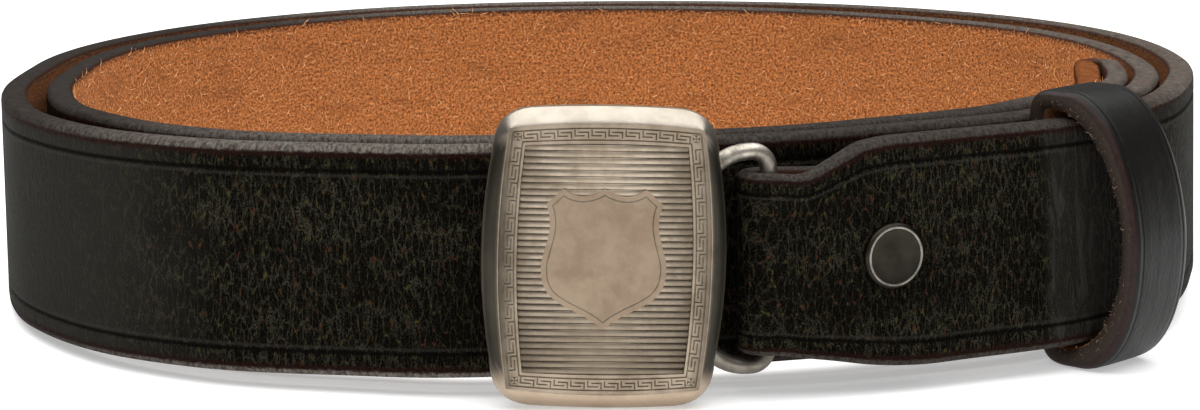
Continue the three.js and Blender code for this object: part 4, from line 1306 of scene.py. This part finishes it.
rib_tree, given, result = add_tree("rib_field", {
    "Rib": "Object", "Count": "Int", "Pitch": "Float", "Half width": "Float", "Bow": "Float",
    "Half height": "Float", "Material": "Material"})
lowest = (Number(given["Count"]) - 1.0) * -0.5 * given["Pitch"]
row = node(rib_tree, "GeometryNodeMeshLine", {
    "Count": given["Count"], "Start Location": vector(rib_tree, Y=lowest),
    "Offset": vector(rib_tree, Y=given["Pitch"])})
height = apart(node(rib_tree, "GeometryNodeInputPosition").outputs[0])[1]
part = height.worked("DIVIDE", height, given["Half height"])
half_width = Number(given["Half width"]) - part * part * given["Bow"]
stretch = vector(rib_tree, X=half_width, Y=1.0, Z=1.0)
give(result, instances(row.outputs[0], given["Rib"], Scale=stretch), given["Material"])

# Painted shade deepens towards the bottom of the ribbed field
rib_silver = metal("ribbed_silver", (0.43, 0.36, 0.28, 1), (0.27, 0.21, 0.15, 1), 0.75,
                   painted_shade_below(0.004, 0.021, 0.75, (0.20, 0.16, 0.115, 1)))
ribs = add_mesh("ribbed_field", [(0, 0, 0)])
grow(ribs, rib_tree, {
    "Rib": rib, "Count": RIB_COUNT, "Pitch": RIB_PITCH, "Half width": FIELD["side"] - 0.04,
    "Bow": FIELD["side_bow"], "Half height": FIELD["end"], "Material": rib_silver}, on_ground)
bpy.data.objects.remove(rib)
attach(ribs, "root")


# Shield
# A plain shield is left standing in the middle of the ribs, level with their tops, with
# one fine line engraved just inside its edge. It is blank.
# Half the shield's outline, from its middle peak down its right side to the tip
SHIELD_HALF = [
    (0, 8.6), (0.9, 8.05), (2.35, 7.65), (3.8, 7.85), (4.95, 8.5), (6.95, 6.65), (6.6, 5.6), (6.45, 4.3),
    (6.6, 2.9), (7.0, 1.3), (7.4, -0.3), (7.42, -1.8), (7.1, -3.2), (6.2, -4.5), (4.6, -5.6), (2.6, -6.6),
    (1.1, -7.5), (0, -8.4),
]
SHIELD_RUNS = ((0, 4), (4, 5), (5, 17))
SHIELD_SHIFT = -0.15


def smooth_run(run):
    """Points along a smooth curve through a run of corners, less its last one."""
    corners = np.array([run[0], *run, run[-1]])
    return drawn(*(
        (6, b, b + (c - a) / 6, c - (d - b) / 6, c)
        for a, b, c, d in zip(corners, corners[1:], corners[2:], corners[3:])))


def drawn_in(outline, inset):
    """A clockwise outline moved inwards, less the points that would cross over."""
    ahead = np.roll(outline, -1, axis=0) - outline
    ahead /= np.linalg.norm(ahead, axis=1)[:, None]
    inward = np.stack([ahead[:, 1], -ahead[:, 0]], axis=1)
    both = inward + np.roll(inward, 1, axis=0)
    both /= np.linalg.norm(both, axis=1)[:, None]
    moved = outline + both * (inset / np.sum(both * inward, axis=1))[:, None]
    edge = np.roll(outline, -1, axis=0) - outline
    kept = []
    for point in moved:
        along = np.sum((point - outline) * edge, axis=1) / np.sum(edge ** 2, axis=1)
        nearest = outline + np.clip(along, 0, 1)[:, None] * edge
        clear = np.linalg.norm(point - nearest, axis=1).min() > inset - 0.01
        if clear and (not kept or math.dist(point, kept[-1]) > 0.05):
            kept.append(tuple(point))
    return kept


def shield_sheet(name, insets, thickness, material):
    """The shield's outline, with lines at the given insets, as one flat sheet on the ground."""
    outline = flat_curves("shield_lines", [
        [(x + SHIELD_SHIFT, z) for x, z in (drawn_in(shield_edge, inset) if inset else shield_edge)]
        for inset in insets])
    sheet = add_mesh(name, [(0, 0, 0)])
    grow(sheet, sheet_tree, {"Lines": outline, "Thickness": thickness, "Material": material}, on_ground)
    bpy.data.objects.remove(outline)
    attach(sheet, "root")


right_half = [point for first, last in SHIELD_RUNS for point in smooth_run(SHIELD_HALF[first:last + 1])]
right_half.append(np.array(SHIELD_HALF[-1]))
shield_edge = np.array(right_half + [(-x, z) for x, z in reversed(right_half[1:-1])])
shield_silver = metal("shield_silver", (0.33, 0.25, 0.178, 1), (0.255, 0.187, 0.128, 1), 0.8)
shield_sheet("shield_bed", [0.1], RELIEF + 0.01, dark_ground)
shield_sheet("blank_shield", [0, 0.6, 0.76], RELIEF + 0.07, shield_silver)


# Floor and light
# A plain pale floor under one wide soft light, which makes it white, with a weak one in
# front for the buckle's face. The room round them is dim, and colours show as they are.
FLOOR = 4.0
floor = add_mesh(
    "floor", [(-FLOOR, -FLOOR, 0), (FLOOR, -FLOOR, 0), (FLOOR, FLOOR, 0), (-FLOOR, FLOOR, 0)], [(0, 1, 2, 3)])
floor_paint, tree, shader = new_material(
    "pale_floor", Base_Color=(0.85, 0.85, 0.85, 1), Roughness=0.9, Specular_IOR_Level=0.0,
    Emission_Color=(1, 1, 1, 1), Emission_Strength=0.4)
floor.data.materials.append(floor_paint)

bpy.context.scene.view_settings.view_transform = "Standard"
world = bpy.data.worlds.new("soft_room")
bpy.context.scene.world = world
world.use_nodes = True
feed(world.node_tree.nodes["Background"], {"Color": (1, 1, 1, 1), "Strength": 0.13})


def softbox(name, place, aim, size, watts):
    light = bpy.data.lights.new(name, "AREA")
    light.shape = "RECTANGLE"
    light.size, light.size_y = size
    light.energy = watts
    lamp = add_object(name, light)
    lamp.location = place
    lamp.rotation_euler = (Vector(aim) - Vector(place)).to_track_quat("-Z", "Y").to_euler()


softbox("overhead", (0.0, 0.05, 1.2), (0, 0, 0), (2.2, 2.2), 43)
softbox("front", (0.0, -1.1, 0.55), (0, 0, 0.02), (1.2, 0.7), 2.0)
